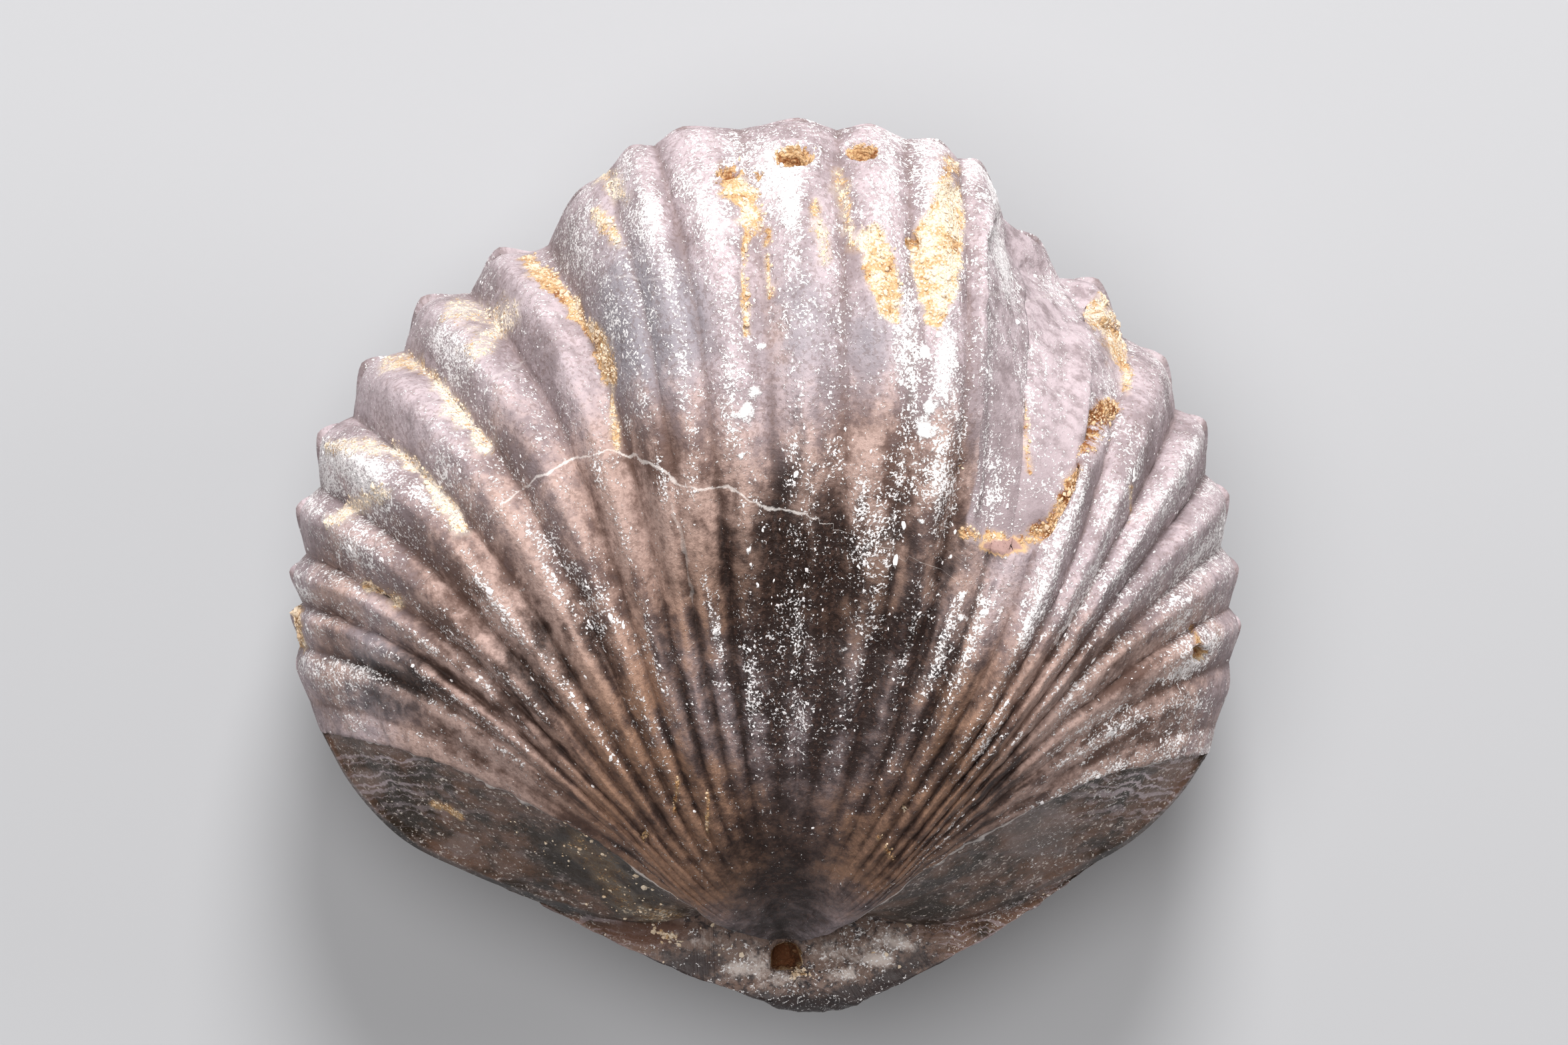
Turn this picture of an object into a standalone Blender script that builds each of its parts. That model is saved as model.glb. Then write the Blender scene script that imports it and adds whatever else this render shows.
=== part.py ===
"""A ribbed fossil brachiopod, both valves shut, lying on its pedicle valve.

Shell frame: +X to the right, +Y from the beak to the front, +Z up through the brachial valve. The umbo of
the brachial valve is the zero of X and Y, and the hinge line is the zero of Z. Each valve is one grid: its
rows are growth lines, from the umbo at 0 to the margin at 1, and its columns follow the ribs.
"""

import math

import bmesh
import bpy
import numpy as np

MM = 0.001

# The umbo in the part's own frame, whose origin is at the bottom centre of the bounding box.
UMBO_AT = (0.54 * MM, -10.4 * MM, 7.003 * MM)

# Where the brachial ribs spread from.
FAN_CENTRE = (0.06 * MM, -0.08 * MM)
NOSE_HEIGHT = 1.0 * MM

# The blunt beak: the point on its face where the pedicle ribs start, the middle and half size of the arc
# round its end, the row by which they are over that arc, and how slowly they set out.
BEAK_POLE = np.array((0.40, -1.25)) * MM
BEAK_HEIGHT = 0.25 * MM
BEAK_ARC = np.array((0.85, -1.98)) * MM
BEAK_ARC_SIZE = np.array((1.15, 0.45)) * MM
BEAK_ARC_ROW = 0.035
BEAK_START = 0.12

# Brachial ribs from left to right. Three bearings in degrees from +Y about the fan centre, at the margin,
# two thirds out and near the umbo, and the half height of the rib at the margin in millimetres.
RIBS = (
    (-61.5, -56.5, -60.3, 0.12), (-57.2, -52.9, -57.8, 0.28), (-53.9, -49.4, -54.9, 0.36),
    (-49.0, -45.4, -51.2, 0.42), (-43.1, -39.8, -46.4, 0.48), (-36.6, -33.2, -41.2, 0.52),
    (-29.8, -26.6, -35.0, 0.55), (-22.6, -20.4, -28.8, 0.52), (-15.6, -15.0, -21.9, 0.26),
    (-11.1, -10.6, -15.4, 0.32), (-7.2, -5.0, -8.4, 0.34), (0.8, 2.2, 3.6, 0.36),
    (5.9, 9.2, 15.0, 0.30), (10.7, 15.6, 24.0, 0.30), (14.0, 21.3, 31.3, 0.38),
    (19.8, 27.6, 37.5, 0.36), (25.5, 33.6, 42.5, 0.48), (33.4, 38.2, 46.8, 0.48),
    (39.4, 42.0, 50.4, 0.46), (45.3, 45.4, 53.5, 0.44), (51.1, 49.0, 56.2, 0.38),
    (55.9, 52.8, 58.6, 0.26), (61.0, 56.8, 60.6, 0.12),
)
LEFT_RIDGE = (-66.3, -61.5, -62.5, 0.05)
RIGHT_RIDGE = (66.6, 61.2, 62.3, 0.05)
BEARING_ROWS = (0.22, 0.68, 1.0)
RIDGE_FLARE = 26.0
FLARE_REACH = 0.35

# Margin of the ribbed part: bearing in degrees, distance from the fan centre and height, in millimetres.
MARGIN = (
    (-66.4, 14.5, -0.4), (-61.5, 15.9, -0.8), (-57.0, 16.75, -1.0), (-49.0, 18.3, -1.1), (-43.0, 19.3, -1.1),
    (-36.5, 20.0, -1.0), (-29.8, 20.6, -0.8), (-23.5, 20.9, -0.2), (-20.0, 20.9, 0.9), (-16.5, 21.6, 3.0),
    (-13.8, 22.2, 4.3), (-11.0, 22.65, 5.0), (-6.0, 22.95, 5.5), (0.5, 22.95, 5.7), (6.0, 22.95, 5.5),
    (10.8, 22.8, 5.1), (14.2, 22.4, 4.2), (17.4, 21.35, 1.9), (21.0, 20.75, 0.5), (26.0, 20.35, -0.2),
    (33.0, 19.45, -0.8), (39.3, 18.65, -1.0), (45.3, 17.55, -1.1), (51.1, 16.4, -1.0), (56.0, 15.55, -0.9),
    (60.5, 14.55, -0.7), (63.5, 13.85, -0.5), (66.7, 13.14, -0.4),
)

# The smooth part of the margin on each side: row, then x, y and z in millimetres, from the middle of the
# hinge line along it, round its corner and along the side face to the ribbed margin.
LEFT_SEAM = (
    (0.0, 0.0, 0.5, 0.0), (0.1, -1.2, 0.5, 0.0), (0.2, -2.4, 0.52, 0.0), (0.3, -3.9, 0.3, -0.1),
    (0.4, -5.5, 0.5, -0.2), (0.5, -7.2, 1.0, -0.3), (0.62, -9.1, 1.75, -0.4), (0.78, -11.15, 2.85, -0.5),
    (0.9, -12.45, 4.3, -0.5), (1.0, -13.24, 5.75, -0.4),
)
RIGHT_SEAM = (
    (0.0, 0.0, 0.5, 0.0), (0.1, 1.2, 0.5, 0.0), (0.2, 2.4, 0.52, 0.0), (0.3, 3.9, 0.25, -0.1),
    (0.4, 5.4, 0.45, -0.2), (0.5, 6.8, 1.0, -0.3), (0.62, 8.4, 1.75, -0.4), (0.78, 10.2, 2.8, -0.5),
    (0.9, 11.4, 4.0, -0.5), (1.0, 12.13, 5.12, -0.4),
)

SEAM_BLEND = 0.7

# Brachial valve along a rib: the crown's height at the middle and at the ridges beside the umbo, the row
# where it is reached, and how far the fold stands over the sides behind the margin.
CROWN = 9.8 * MM
RIDGE_CROWN = 4.2 * MM
CROWN_FALL_BEARING = 74.0
CROWN_ROWS = (0.60, 0.42)
FOLD_LIFT = 1.1 * MM
FOLD_EDGES = (-19.0, -13.0, 14.6, 18.2)
FOLD_START = 0.38

# Side faces of the brachial valve: the sunken share of their profile, and how sharply it sinks.
FACE_SAG = 0.7
FACE_CURVE = 1.7

# Pedicle valve along a rib: its depth at the middle and at the beak ridges, and the rows where it is reached
# at the middle, beside the groove that answers the fold and at the sides.
DEPTH = 6.9 * MM
RIDGE_DEPTH = 1.0 * MM
DEPTH_ROWS = (0.36, 0.68, 0.50)
GROOVE_SIDE = (0.38, 0.17)
DEPTH_SIDE = (0.55, 0.90)
DEPTH_SPREAD = (2.6, 0.7)

# How far the flanks of the beak bow outwards on the left and right, the part of that which the sharp beak
# ridges keep, how slowly these fall from the tip, and how deep the face between them sinks.
FLANK_BOWS = (3.4 * MM, 2.6 * MM)
RIDGE_BOW_SHARE = 0.6
RIDGE_START = 0.88
RIDGE_FALL = 0.9
RIDGE_SPREAD = 6.0
FACE_HOLLOW = 0.22 * MM
HOLLOW_END = 0.8

# Window where the outer layer has flaked off: corners in millimetres, and the thickness that is lost.
WINDOW = (
    (6.3, 21.0), (5.5, 15.0), (5.3, 11.2), (7.2, 10.8), (9.0, 14.1), (10.0, 16.2), (9.8, 17.6), (8.0, 20.5),
)
WINDOW_EDGE = (-0.15 * MM, 0.25 * MM)
FLAKE = 0.35 * MM
FLAKE_END = 0.97

# Round openings: x, y, radii along x and y, and depth, in millimetres.
PITS = ((0.25, 22.1, 0.62, 0.42, 0.7), (2.2, 22.15, 0.48, 0.32, 0.5), (-1.65, 21.6, 0.32, 0.3, 0.4))
PIT_TILT = math.radians(50.0)
FORAMEN = (0.06 * MM, -0.70 * MM)
FORAMEN_RADIUS = 0.42 * MM
FORAMEN_DEPTH = 0.9 * MM

# Gap that parts the two valves along the commissure, and the surface inside it.
GAP = 0.2 * MM
SEAM_CENTRE = (0.0 * MM, 10.0 * MM, 1.0 * MM)
SEAM_RINGS = ((0.90, 0.35), (0.66, 0.0))
SEAM_FLATNESS = 2.2
MERGE = 0.004 * MM

# Shape of every profile from umbo to margin: powers of the climb to its top and of the drop behind it.
CLIMB = (2.0, 0.5556)
DROP = (2.2, 0.625)

# Ribs: how sharply a groove is cut, how they grow along a row, and how they lean out at the margin.
GROOVE_SHARPNESS = 1.5
RIB_GROWTH = 1.25
RIB_START = (0.04, 0.20)
FRONT_START = 0.82
FRONT_FADE = 0.35
LEAN_START = 0.86
LEAN = (0.45, 0.95)
SLOPE_STEP = 0.004

# Counts of the grid.
STEPS_PER_RIB = 4
ROWS = 20
ROW_CROWDING = 0.85
FACE_STEPS = 4


def spline(knots, values, x):
    """Smooth curve through the values at the knots, read at x."""
    knots = np.asarray(knots, float)
    values = np.asarray(values, float)
    slopes = np.gradient(values, knots)
    i = np.clip(np.searchsorted(knots, x) - 1, 0, len(knots) - 2)
    step = knots[i + 1] - knots[i]
    t = np.clip((x - knots[i]) / step, 0.0, 1.0)
    rise = t * t * (3.0 - 2.0 * t)
    start = t * (1.0 - t) ** 2
    end = t * t * (t - 1.0)
    return values[i] * (1.0 - rise) + values[i + 1] * rise + step * (slopes[i] * start + slopes[i + 1] * end)


def smooth_step(low, high, x):
    """0 below low, 1 above high, with a smooth ramp between."""
    t = np.clip((x - low) / (high - low), 0.0, 1.0)
    return t * t * (3.0 - 2.0 * t)


def plateau(edges, x):
    """1 between the middle two of four edges, 0 outside the outer two."""
    return smooth_step(edges[0], edges[1], x) * (1.0 - smooth_step(edges[2], edges[3], x))


# ---- columns and rows ----

CRESTS = np.array((LEFT_RIDGE,) + RIBS + (RIGHT_RIDGE,))
COLUMNS = len(RIBS) + 1


def rib_table(index, column):
    """One value of the rib list at a column, where whole columns are crests."""
    return spline(np.arange(COLUMNS + 1), CRESTS[:, index], column)


def rib_wave(column):
    """1 on a rib's rounded crest, -1 in the sharp groove between two ribs."""
    off_crest = np.abs(column - np.round(column))
    return 1.0 - 2.0 * (2.0 * off_crest) ** GROOVE_SHARPNESS


def rib_height(column, row):
    """Half height of the ribs, which grow from nothing at the umbo and fade down the fold's front."""
    front = FRONT_FADE * plateau(FOLD_EDGES, rib_table(0, column)) * smooth_step(FRONT_START, 1.0, row)
    return rib_table(3, column) * MM * row ** RIB_GROWTH * smooth_step(*RIB_START, row) * (1.0 - front)


def bearing(column, row):
    """Bearing of a rib at a row, in radians: a smooth bend through its three bearings."""
    near, middle, far = BEARING_ROWS
    at_near = (row - middle) * (row - far) / ((near - middle) * (near - far))
    at_middle = (row - near) * (row - far) / ((middle - near) * (middle - far))
    at_far = (row - near) * (row - middle) / ((far - near) * (far - middle))
    bend = rib_table(2, column) * at_near + rib_table(1, column) * at_middle + rib_table(0, column) * at_far
    flare = RIDGE_FLARE * (rib_table(2, column) / LEFT_RIDGE[2]) ** 3
    flare = -flare * np.clip(1.0 - row / FLARE_REACH, 0.0, 1.0) ** 2
    return np.radians(bend + flare)


def reach(column):
    """0 in the middle of the shell, 1 at the ridges beside the umbo."""
    return np.abs(rib_table(0, column) / LEFT_RIDGE[0])


def margin_radius(column):
    """Distance of the plain margin from the fan centre."""
    table = np.array(MARGIN)
    return spline(table[:, 0], table[:, 1], rib_table(0, column)) * MM


def margin_height(column):
    """Height of the plain margin: level at the sides and raised by the fold."""
    table = np.array(MARGIN)
    return spline(table[:, 0], table[:, 2], rib_table(0, column)) * MM


def dome(row, top_row, start, top, end, gentleness=0.0):
    """Profile along a rib: steep out of the umbo, level at its top row, steep again at the margin."""
    climb = np.clip(1.0 - row / top_row, 0.0, 1.0)
    climb = (1.0 - climb ** CLIMB[0]) ** (CLIMB[1] + gentleness)
    drop = np.clip((row - top_row) / (1.0 - top_row), 0.0, 1.0)
    drop = (1.0 - drop ** DROP[0]) ** DROP[1]
    return np.where(row < top_row, start + (top - start) * climb, end + (top - end) * drop)


def rib_lean(height_of, column, row):
    """Outward and upward parts of a rib's height: square to the valve, and leaning out at the margin."""
    above = np.minimum(row + SLOPE_STEP, 1.0)
    below = row - SLOPE_STEP
    slope = (height_of(column, above) - height_of(column, below)) / (margin_radius(column) * (above - below))
    tilt = 1.0 / np.sqrt(1.0 + slope ** 2)
    at_margin = smooth_step(LEAN_START, 1.0, row)
    outward = -slope * tilt * (1.0 - at_margin) + LEAN[0] * at_margin
    upward = tilt * (1.0 - at_margin) + LEAN[1] * at_margin
    return outward, upward


def grid_of_ribs():
    """Columns and rows of the ribbed part, with the rows close together at umbo and margin."""
    rows = 0.5 * (1.0 - np.cos(math.pi * np.linspace(0.0, 1.0, ROWS + 1) ** ROW_CROWDING))
    columns = np.arange(COLUMNS * STEPS_PER_RIB + 1) / STEPS_PER_RIB
    return np.meshgrid(columns, rows)


# ---- brachial valve ----

def inside_window(x, y):
    """1 inside the flaked window, 0 outside it, with an edge a rib flank wide."""
    corners = np.array(WINDOW) * MM
    inside = np.full(np.shape(x), np.inf)
    for start, end in zip(corners, np.roll(corners, -1, axis=0)):
        along = (end - start) / np.linalg.norm(end - start)
        inside = np.minimum(inside, (y - start[1]) * along[0] - (x - start[0]) * along[1])
    return smooth_step(*WINDOW_EDGE, inside)


def brachial_height(column, row):
    """Height of the valve without its ribs."""
    middle = rib_table(0, column)
    crown = RIDGE_CROWN + (CROWN - RIDGE_CROWN) * np.cos(np.radians(middle * 90.0 / CROWN_FALL_BEARING))
    top_row = CROWN_ROWS[0] + (CROWN_ROWS[1] - CROWN_ROWS[0]) * reach(column) ** 2
    height = dome(row, top_row, NOSE_HEIGHT, crown, margin_height(column))
    across = np.degrees(bearing(column, row)) * 0.5 + middle * 0.5
    lift = FOLD_LIFT * plateau(FOLD_EDGES, across)
    return height + lift * np.sin(math.pi * np.clip((row - FOLD_START) / (1.0 - FOLD_START), 0.0, 1.0))


def brachial_points(column, row):
    """Points of the ribbed part of the brachial valve."""
    angle = bearing(column, row)
    radius = margin_radius(column) * row
    outward, upward = rib_lean(brachial_height, column, row)
    relief = rib_wave(column) * rib_height(column, row)
    x = FAN_CENTRE[0] + radius * np.sin(angle)
    y = FAN_CENTRE[1] + radius * np.cos(angle)
    relief = relief - FLAKE * inside_window(x, y) * smooth_step(1.0, FLAKE_END, row)
    x = x + relief * outward * np.sin(angle)
    y = y + relief * outward * np.cos(angle)
    return np.stack([x, y, brachial_height(column, row) + relief * upward], axis=-1)


def seam_points(seam, edge_column, row):
    """Points of the smooth part of the commissure, which ends where the ribbed margin starts."""
    table = np.array(seam)
    points = np.stack([spline(table[:, 0], table[:, i], row) * MM for i in (1, 2, 3)], axis=-1)
    miss = brachial_points(np.array([edge_column]), np.array([1.0]))[0] - table[-1, 1:] * MM
    return points + miss * smooth_step(SEAM_BLEND, 1.0, row)[..., None]


def brachial_face(ridge, seam, across):
    """Sunken side face between the ridge beside the umbo and the commissure; across is 0 to 1."""
    place = ridge + (seam - ridge) * across[..., None]
    hang = FACE_SAG * (1.0 - across) ** FACE_CURVE + (1.0 - FACE_SAG) * np.sqrt(1.0 - across ** 2)
    place[..., 2] = seam[..., 2] + (ridge[..., 2] - seam[..., 2]) * hang
    return place


def brachial_grid():
    """Rows by columns of points over the whole brachial valve."""
    columns, rows = grid_of_ribs()
    ribs = brachial_points(columns, rows)
    rows = rows[:, :1]
    across = np.arange(1, FACE_STEPS + 1)[None, :] / FACE_STEPS
    left = brachial_face(ribs[:, :1], seam_points(LEFT_SEAM, 0.0, rows), across)
    right = brachial_face(ribs[:, -1:], seam_points(RIGHT_SEAM, float(COLUMNS), rows), across)
    return np.concatenate([left[:, ::-1], ribs, right], axis=1)


# ---- pedicle valve ----

def pedicle_points(column, row):
    """Points of the ribbed part of the pedicle valve, which start over the blunt end of the beak."""
    rim = brachial_points(column, np.ones_like(row))
    side = np.where(column < COLUMNS / 2.0, FLANK_BOWS[0], FLANK_BOWS[1]) * reach(column) ** 2
    side = side * (1.0 - (1.0 - RIDGE_BOW_SHARE) * smooth_step(RIDGE_START, 1.0, reach(column)))
    start = beak_start(column, row)
    row = row ** 2 * (1.0 + BEAK_START) / (row + BEAK_START)
    chord = rim[..., :2] - start
    length = np.linalg.norm(chord, axis=-1)
    turn = np.where(column < COLUMNS / 2.0, -1.0, 1.0)
    bow_x = turn * chord[..., 1] / length * side
    bow_y = -turn * chord[..., 0] / length * side
    bow = 2.0 * row * (1.0 - row)
    x = start[..., 0] + chord[..., 0] * row + bow_x * bow
    y = start[..., 1] + chord[..., 1] * row + bow_y * bow
    return with_pedicle_height(column, row, x, y, chord / length[..., None])


def beak_start(column, row):
    """Where each rib sets out: at the pole on row 0, and soon from the arc round the end of the beak."""
    turn = (column / COLUMNS - 0.5) * math.pi
    arc = BEAK_ARC + np.stack([np.sin(turn), -np.cos(turn)], axis=-1) * BEAK_ARC_SIZE
    over = np.sqrt(1.0 - (1.0 - np.minimum(row / BEAK_ARC_ROW, 1.0)) ** 2)
    return BEAK_POLE + (arc - BEAK_POLE) * over[..., None]


def pedicle_height(column, row):
    """Height of the valve without its ribs, below the hinge line except at the sulcus."""
    side = reach(column)
    bottom = np.clip(1.0 - side ** DEPTH_SPREAD[0], 0.0, 1.0) ** DEPTH_SPREAD[1]
    bottom = -RIDGE_DEPTH - (DEPTH - RIDGE_DEPTH) * bottom
    beside = np.exp(-((side - GROOVE_SIDE[0]) / GROOVE_SIDE[1]) ** 2)
    low_row = DEPTH_ROWS[0] + (DEPTH_ROWS[1] - DEPTH_ROWS[0]) * beside
    low_row = low_row + (DEPTH_ROWS[2] - DEPTH_ROWS[0]) * smooth_step(*DEPTH_SIDE, side)
    return dome(row, low_row, BEAK_HEIGHT, bottom, margin_height(column), RIDGE_FALL * side ** RIDGE_SPREAD)


def with_pedicle_height(column, row, x, y, outward_way):
    """Set the height and raise the ribs, which answer the grooves of the brachial valve."""
    outward, upward = rib_lean(pedicle_height, column, row)
    relief = rib_wave(column) * rib_height(column, row)
    inner = relief * np.where(row < 1.0, outward, 0.0)
    x = x + inner * outward_way[..., 0]
    y = y + inner * outward_way[..., 1]
    return np.stack([x, y, pedicle_height(column, row) + relief * upward], axis=-1)


def pedicle_face(ridge, seam, across, row):
    """Hollow face between the beak ridge and the commissure; across is 0 to 1."""
    place = ridge + (seam - ridge) * across[..., None]
    hollow = FACE_HOLLOW * np.sin(math.pi * across) * smooth_step(1.0, HOLLOW_END, row)
    place[..., 2] = place[..., 2] - hollow
    return place


def pedicle_grid():
    """Rows by columns of points over the whole pedicle valve."""
    columns, rows = grid_of_ribs()
    ribs = pedicle_points(columns, rows)
    rows = rows[:, :1]
    across = np.arange(1, FACE_STEPS + 1)[None, :] / FACE_STEPS
    left = pedicle_face(ribs[:, :1], seam_points(LEFT_SEAM, 0.0, rows), across, rows)
    right = pedicle_face(ribs[:, -1:], seam_points(RIGHT_SEAM, float(COLUMNS), rows), across, rows)
    return np.concatenate([left[:, ::-1], ribs, right], axis=1)


# ---- closed bodies ----

def seam_loop(grid):
    """Grid indices of the commissure, once round from the middle of the hinge line."""
    rows, columns = grid.shape[:2]
    left = [(row, 0) for row in range(0, rows - 1)]
    front = [(rows - 1, column) for column in range(FACE_STEPS, columns - FACE_STEPS)]
    right = [(row, columns - 1) for row in range(rows - 2, 0, -1)]
    return left + front + right


def seam_ring(grid, loop, shrink, zigzag):
    """One ring of the surface inside the shell, between the commissure and its centre."""
    centre = np.array(SEAM_CENTRE)
    rim = np.array([grid[index] for index in loop])
    ring = centre + (rim - centre) * shrink
    front = slice(grid.shape[0] - 1, grid.shape[0] - 1 + grid.shape[1] - 2 * FACE_STEPS)
    columns = np.arange(COLUMNS * STEPS_PER_RIB + 1) / STEPS_PER_RIB
    heights = rim[:, 2].copy()
    heights[front] = margin_height(columns) + (heights[front] - margin_height(columns)) * zigzag
    ring[:, 2] = centre[2] + (heights - centre[2]) * shrink ** SEAM_FLATNESS
    return ring


def closed_body(name, grid, lift):
    """Object of one closed body: the valve's outer grid and the surface inside its commissure."""
    loop = seam_loop(grid)
    rings = [seam_ring(grid, loop, shrink, zigzag) for shrink, zigzag in SEAM_RINGS]
    shift = np.array(UMBO_AT)
    seam_shift = shift + np.array((0.0, 0.0, lift))
    last_row, last_column = grid.shape[0] - 1, grid.shape[1] - 1
    on_seam = set(loop) | {(0, last_column)} | {(last_row, column) for column in range(last_column + 1)}
    mesh = bmesh.new()
    vertices = {}
    for index in np.ndindex(grid.shape[:2]):
        vertices[index] = mesh.verts.new(grid[index] + (seam_shift if index in on_seam else shift))
    for row, column in np.ndindex(grid.shape[0] - 1, grid.shape[1] - 1):
        mesh.faces.new([vertices[row, column], vertices[row, column + 1],
                        vertices[row + 1, column + 1], vertices[row + 1, column]])
    outer = [vertices[index] for index in loop]
    for ring in rings:
        inner = [mesh.verts.new(point + seam_shift) for point in ring]
        bridge(mesh, outer, inner)
        outer = inner
    hub = mesh.verts.new(np.array(SEAM_CENTRE) + seam_shift)
    for here, there in zip(outer, outer[1:] + outer[:1]):
        mesh.faces.new([here, there, hub])
    bmesh.ops.remove_doubles(mesh, verts=mesh.verts, dist=MERGE)
    bmesh.ops.triangulate(mesh, faces=mesh.faces)
    bmesh.ops.recalc_face_normals(mesh, faces=mesh.faces)
    data = bpy.data.meshes.new(name)
    mesh.to_mesh(data)
    mesh.free()
    return bpy.data.objects.new(name, data)


def bridge(mesh, outer, inner):
    """Quads between two closed rings of the same count."""
    for i, here in enumerate(outer):
        after = (i + 1) % len(outer)
        mesh.faces.new([here, outer[after], inner[after], inner[i]])


# ---- pits, the pedicle opening and materials ----

def cut(body, cutter, cutters):
    """Take a cutter's shape out of a body."""
    cutters.objects.link(cutter)
    cutter.hide_render = True
    cutter.display_type = "WIRE"
    boolean = body.modifiers.new(cutter.name, "BOOLEAN")
    boolean.operation = "DIFFERENCE"
    boolean.object = cutter


def pit_cutter(name, x, y, radius_x, radius_y, depth):
    """Flattened ball sunk to its depth below the brachial surface at x and y."""
    column, row = nearest_on_brachial(x, y)
    place = brachial_points(np.array([[column]]), np.array([[row]]))[0, 0]
    mesh = bmesh.new()
    bmesh.ops.create_icosphere(mesh, subdivisions=2, radius=1.0)
    bmesh.ops.scale(mesh, verts=mesh.verts, vec=(radius_x, radius_y, depth))
    data = bpy.data.meshes.new(name)
    mesh.to_mesh(data)
    mesh.free()
    cutter = bpy.data.objects.new(name, data)
    cutter.location = place + np.array(UMBO_AT)
    cutter.rotation_euler = (-PIT_TILT, 0.0, 0.0)
    return cutter


def nearest_on_brachial(x, y):
    """Column and row of the brachial surface nearest to a place in plan."""
    rows = np.linspace(0.1, 1.0, 181)[:, None]
    columns = np.linspace(0.0, COLUMNS, 481)[None, :]
    points = brachial_points(columns + 0.0 * rows, rows + 0.0 * columns)
    gap = np.hypot(points[..., 0] - x, points[..., 1] - y)
    row, column = np.unravel_index(np.argmin(gap), gap.shape)
    return columns[0, column], rows[row, 0]


def foramen_cutter():
    """Short upright cylinder that sinks the pedicle opening into the beak."""
    mesh = bmesh.new()
    bmesh.ops.create_cone(mesh, cap_ends=True, segments=16, radius1=FORAMEN_RADIUS,
                          radius2=FORAMEN_RADIUS, depth=2.0 * FORAMEN_DEPTH)
    data = bpy.data.meshes.new("foramen")
    mesh.to_mesh(data)
    mesh.free()
    cutter = bpy.data.objects.new("foramen", data)
    cutter.location = (UMBO_AT[0] + FORAMEN[0], UMBO_AT[1] + FORAMEN[1], UMBO_AT[2])
    return cutter


def shell_material(name, colour, roughness):
    """Principled material of a valve."""
    material = bpy.data.materials.new(name)
    material.use_nodes = True
    shader = material.node_tree.nodes["Principled BSDF"]
    shader.inputs["Base Color"].default_value = (*colour, 1.0)
    shader.inputs["Roughness"].default_value = roughness
    shader.inputs["Metallic"].default_value = 0.0
    return material


def new_collection(name):
    """Empty collection linked to the scene."""
    collection = bpy.data.collections.new(name)
    bpy.context.scene.collection.children.link(collection)
    return collection


def main():
    """Build both valves and cut their openings."""
    for thing in list(bpy.data.objects):
        bpy.data.objects.remove(thing)
    fossil = new_collection("brachiopod_fossil")
    cutters = new_collection("cutters")
    brachial = closed_body("brachial_valve", brachial_grid(), 0.5 * GAP)
    brachial.data.materials.append(shell_material("pale_shell", (0.45, 0.40, 0.38), 0.55))
    pedicle = closed_body("pedicle_valve", pedicle_grid(), -0.5 * GAP)
    pedicle.data.materials.append(shell_material("amber_shell", (0.36, 0.29, 0.22), 0.55))
    for body in (brachial, pedicle):
        fossil.objects.link(body)
    for number, (x, y, radius_x, radius_y, depth) in enumerate(PITS, start=1):
        pit = pit_cutter(f"pit_{number}", x * MM, y * MM, radius_x * MM, radius_y * MM, depth * MM)
        cut(brachial, pit, cutters)
    cut(pedicle, foramen_cutter(), cutters)


main()
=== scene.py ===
import math

import bpy
import numpy as np
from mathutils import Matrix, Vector


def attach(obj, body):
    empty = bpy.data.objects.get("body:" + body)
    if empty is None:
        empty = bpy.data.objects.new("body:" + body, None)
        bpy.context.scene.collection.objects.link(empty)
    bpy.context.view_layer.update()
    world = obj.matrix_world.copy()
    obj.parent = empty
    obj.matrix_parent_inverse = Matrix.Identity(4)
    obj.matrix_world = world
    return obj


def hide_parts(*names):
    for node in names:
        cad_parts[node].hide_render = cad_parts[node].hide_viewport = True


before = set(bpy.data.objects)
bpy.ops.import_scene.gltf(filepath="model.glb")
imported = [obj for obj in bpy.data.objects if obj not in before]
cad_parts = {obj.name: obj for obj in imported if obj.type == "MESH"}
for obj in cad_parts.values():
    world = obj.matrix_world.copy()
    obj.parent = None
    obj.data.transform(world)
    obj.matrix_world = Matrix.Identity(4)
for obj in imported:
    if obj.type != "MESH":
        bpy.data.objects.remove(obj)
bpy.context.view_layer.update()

MM = 0.001

# ---- the shell's shape, in its own frame: umbo at the zero of X and Y, hinge line at the zero of Z ----

UMBO_AT = np.array((0.54, -10.4, 7.003)) * MM
FAN_CENTRE = (0.06 * MM, -0.08 * MM)
NOSE_HEIGHT = 1.0 * MM

# The blunt beak: where the lower ribs start, and the arc round the beak's end.
BEAK_POLE = np.array((0.40, -1.25)) * MM
BEAK_HEIGHT = 0.25 * MM
BEAK_ARC = np.array((0.85, -1.98)) * MM
BEAK_ARC_SIZE = np.array((1.15, 0.45)) * MM
BEAK_ARC_ROW = 0.035
BEAK_START = 0.12

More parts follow.
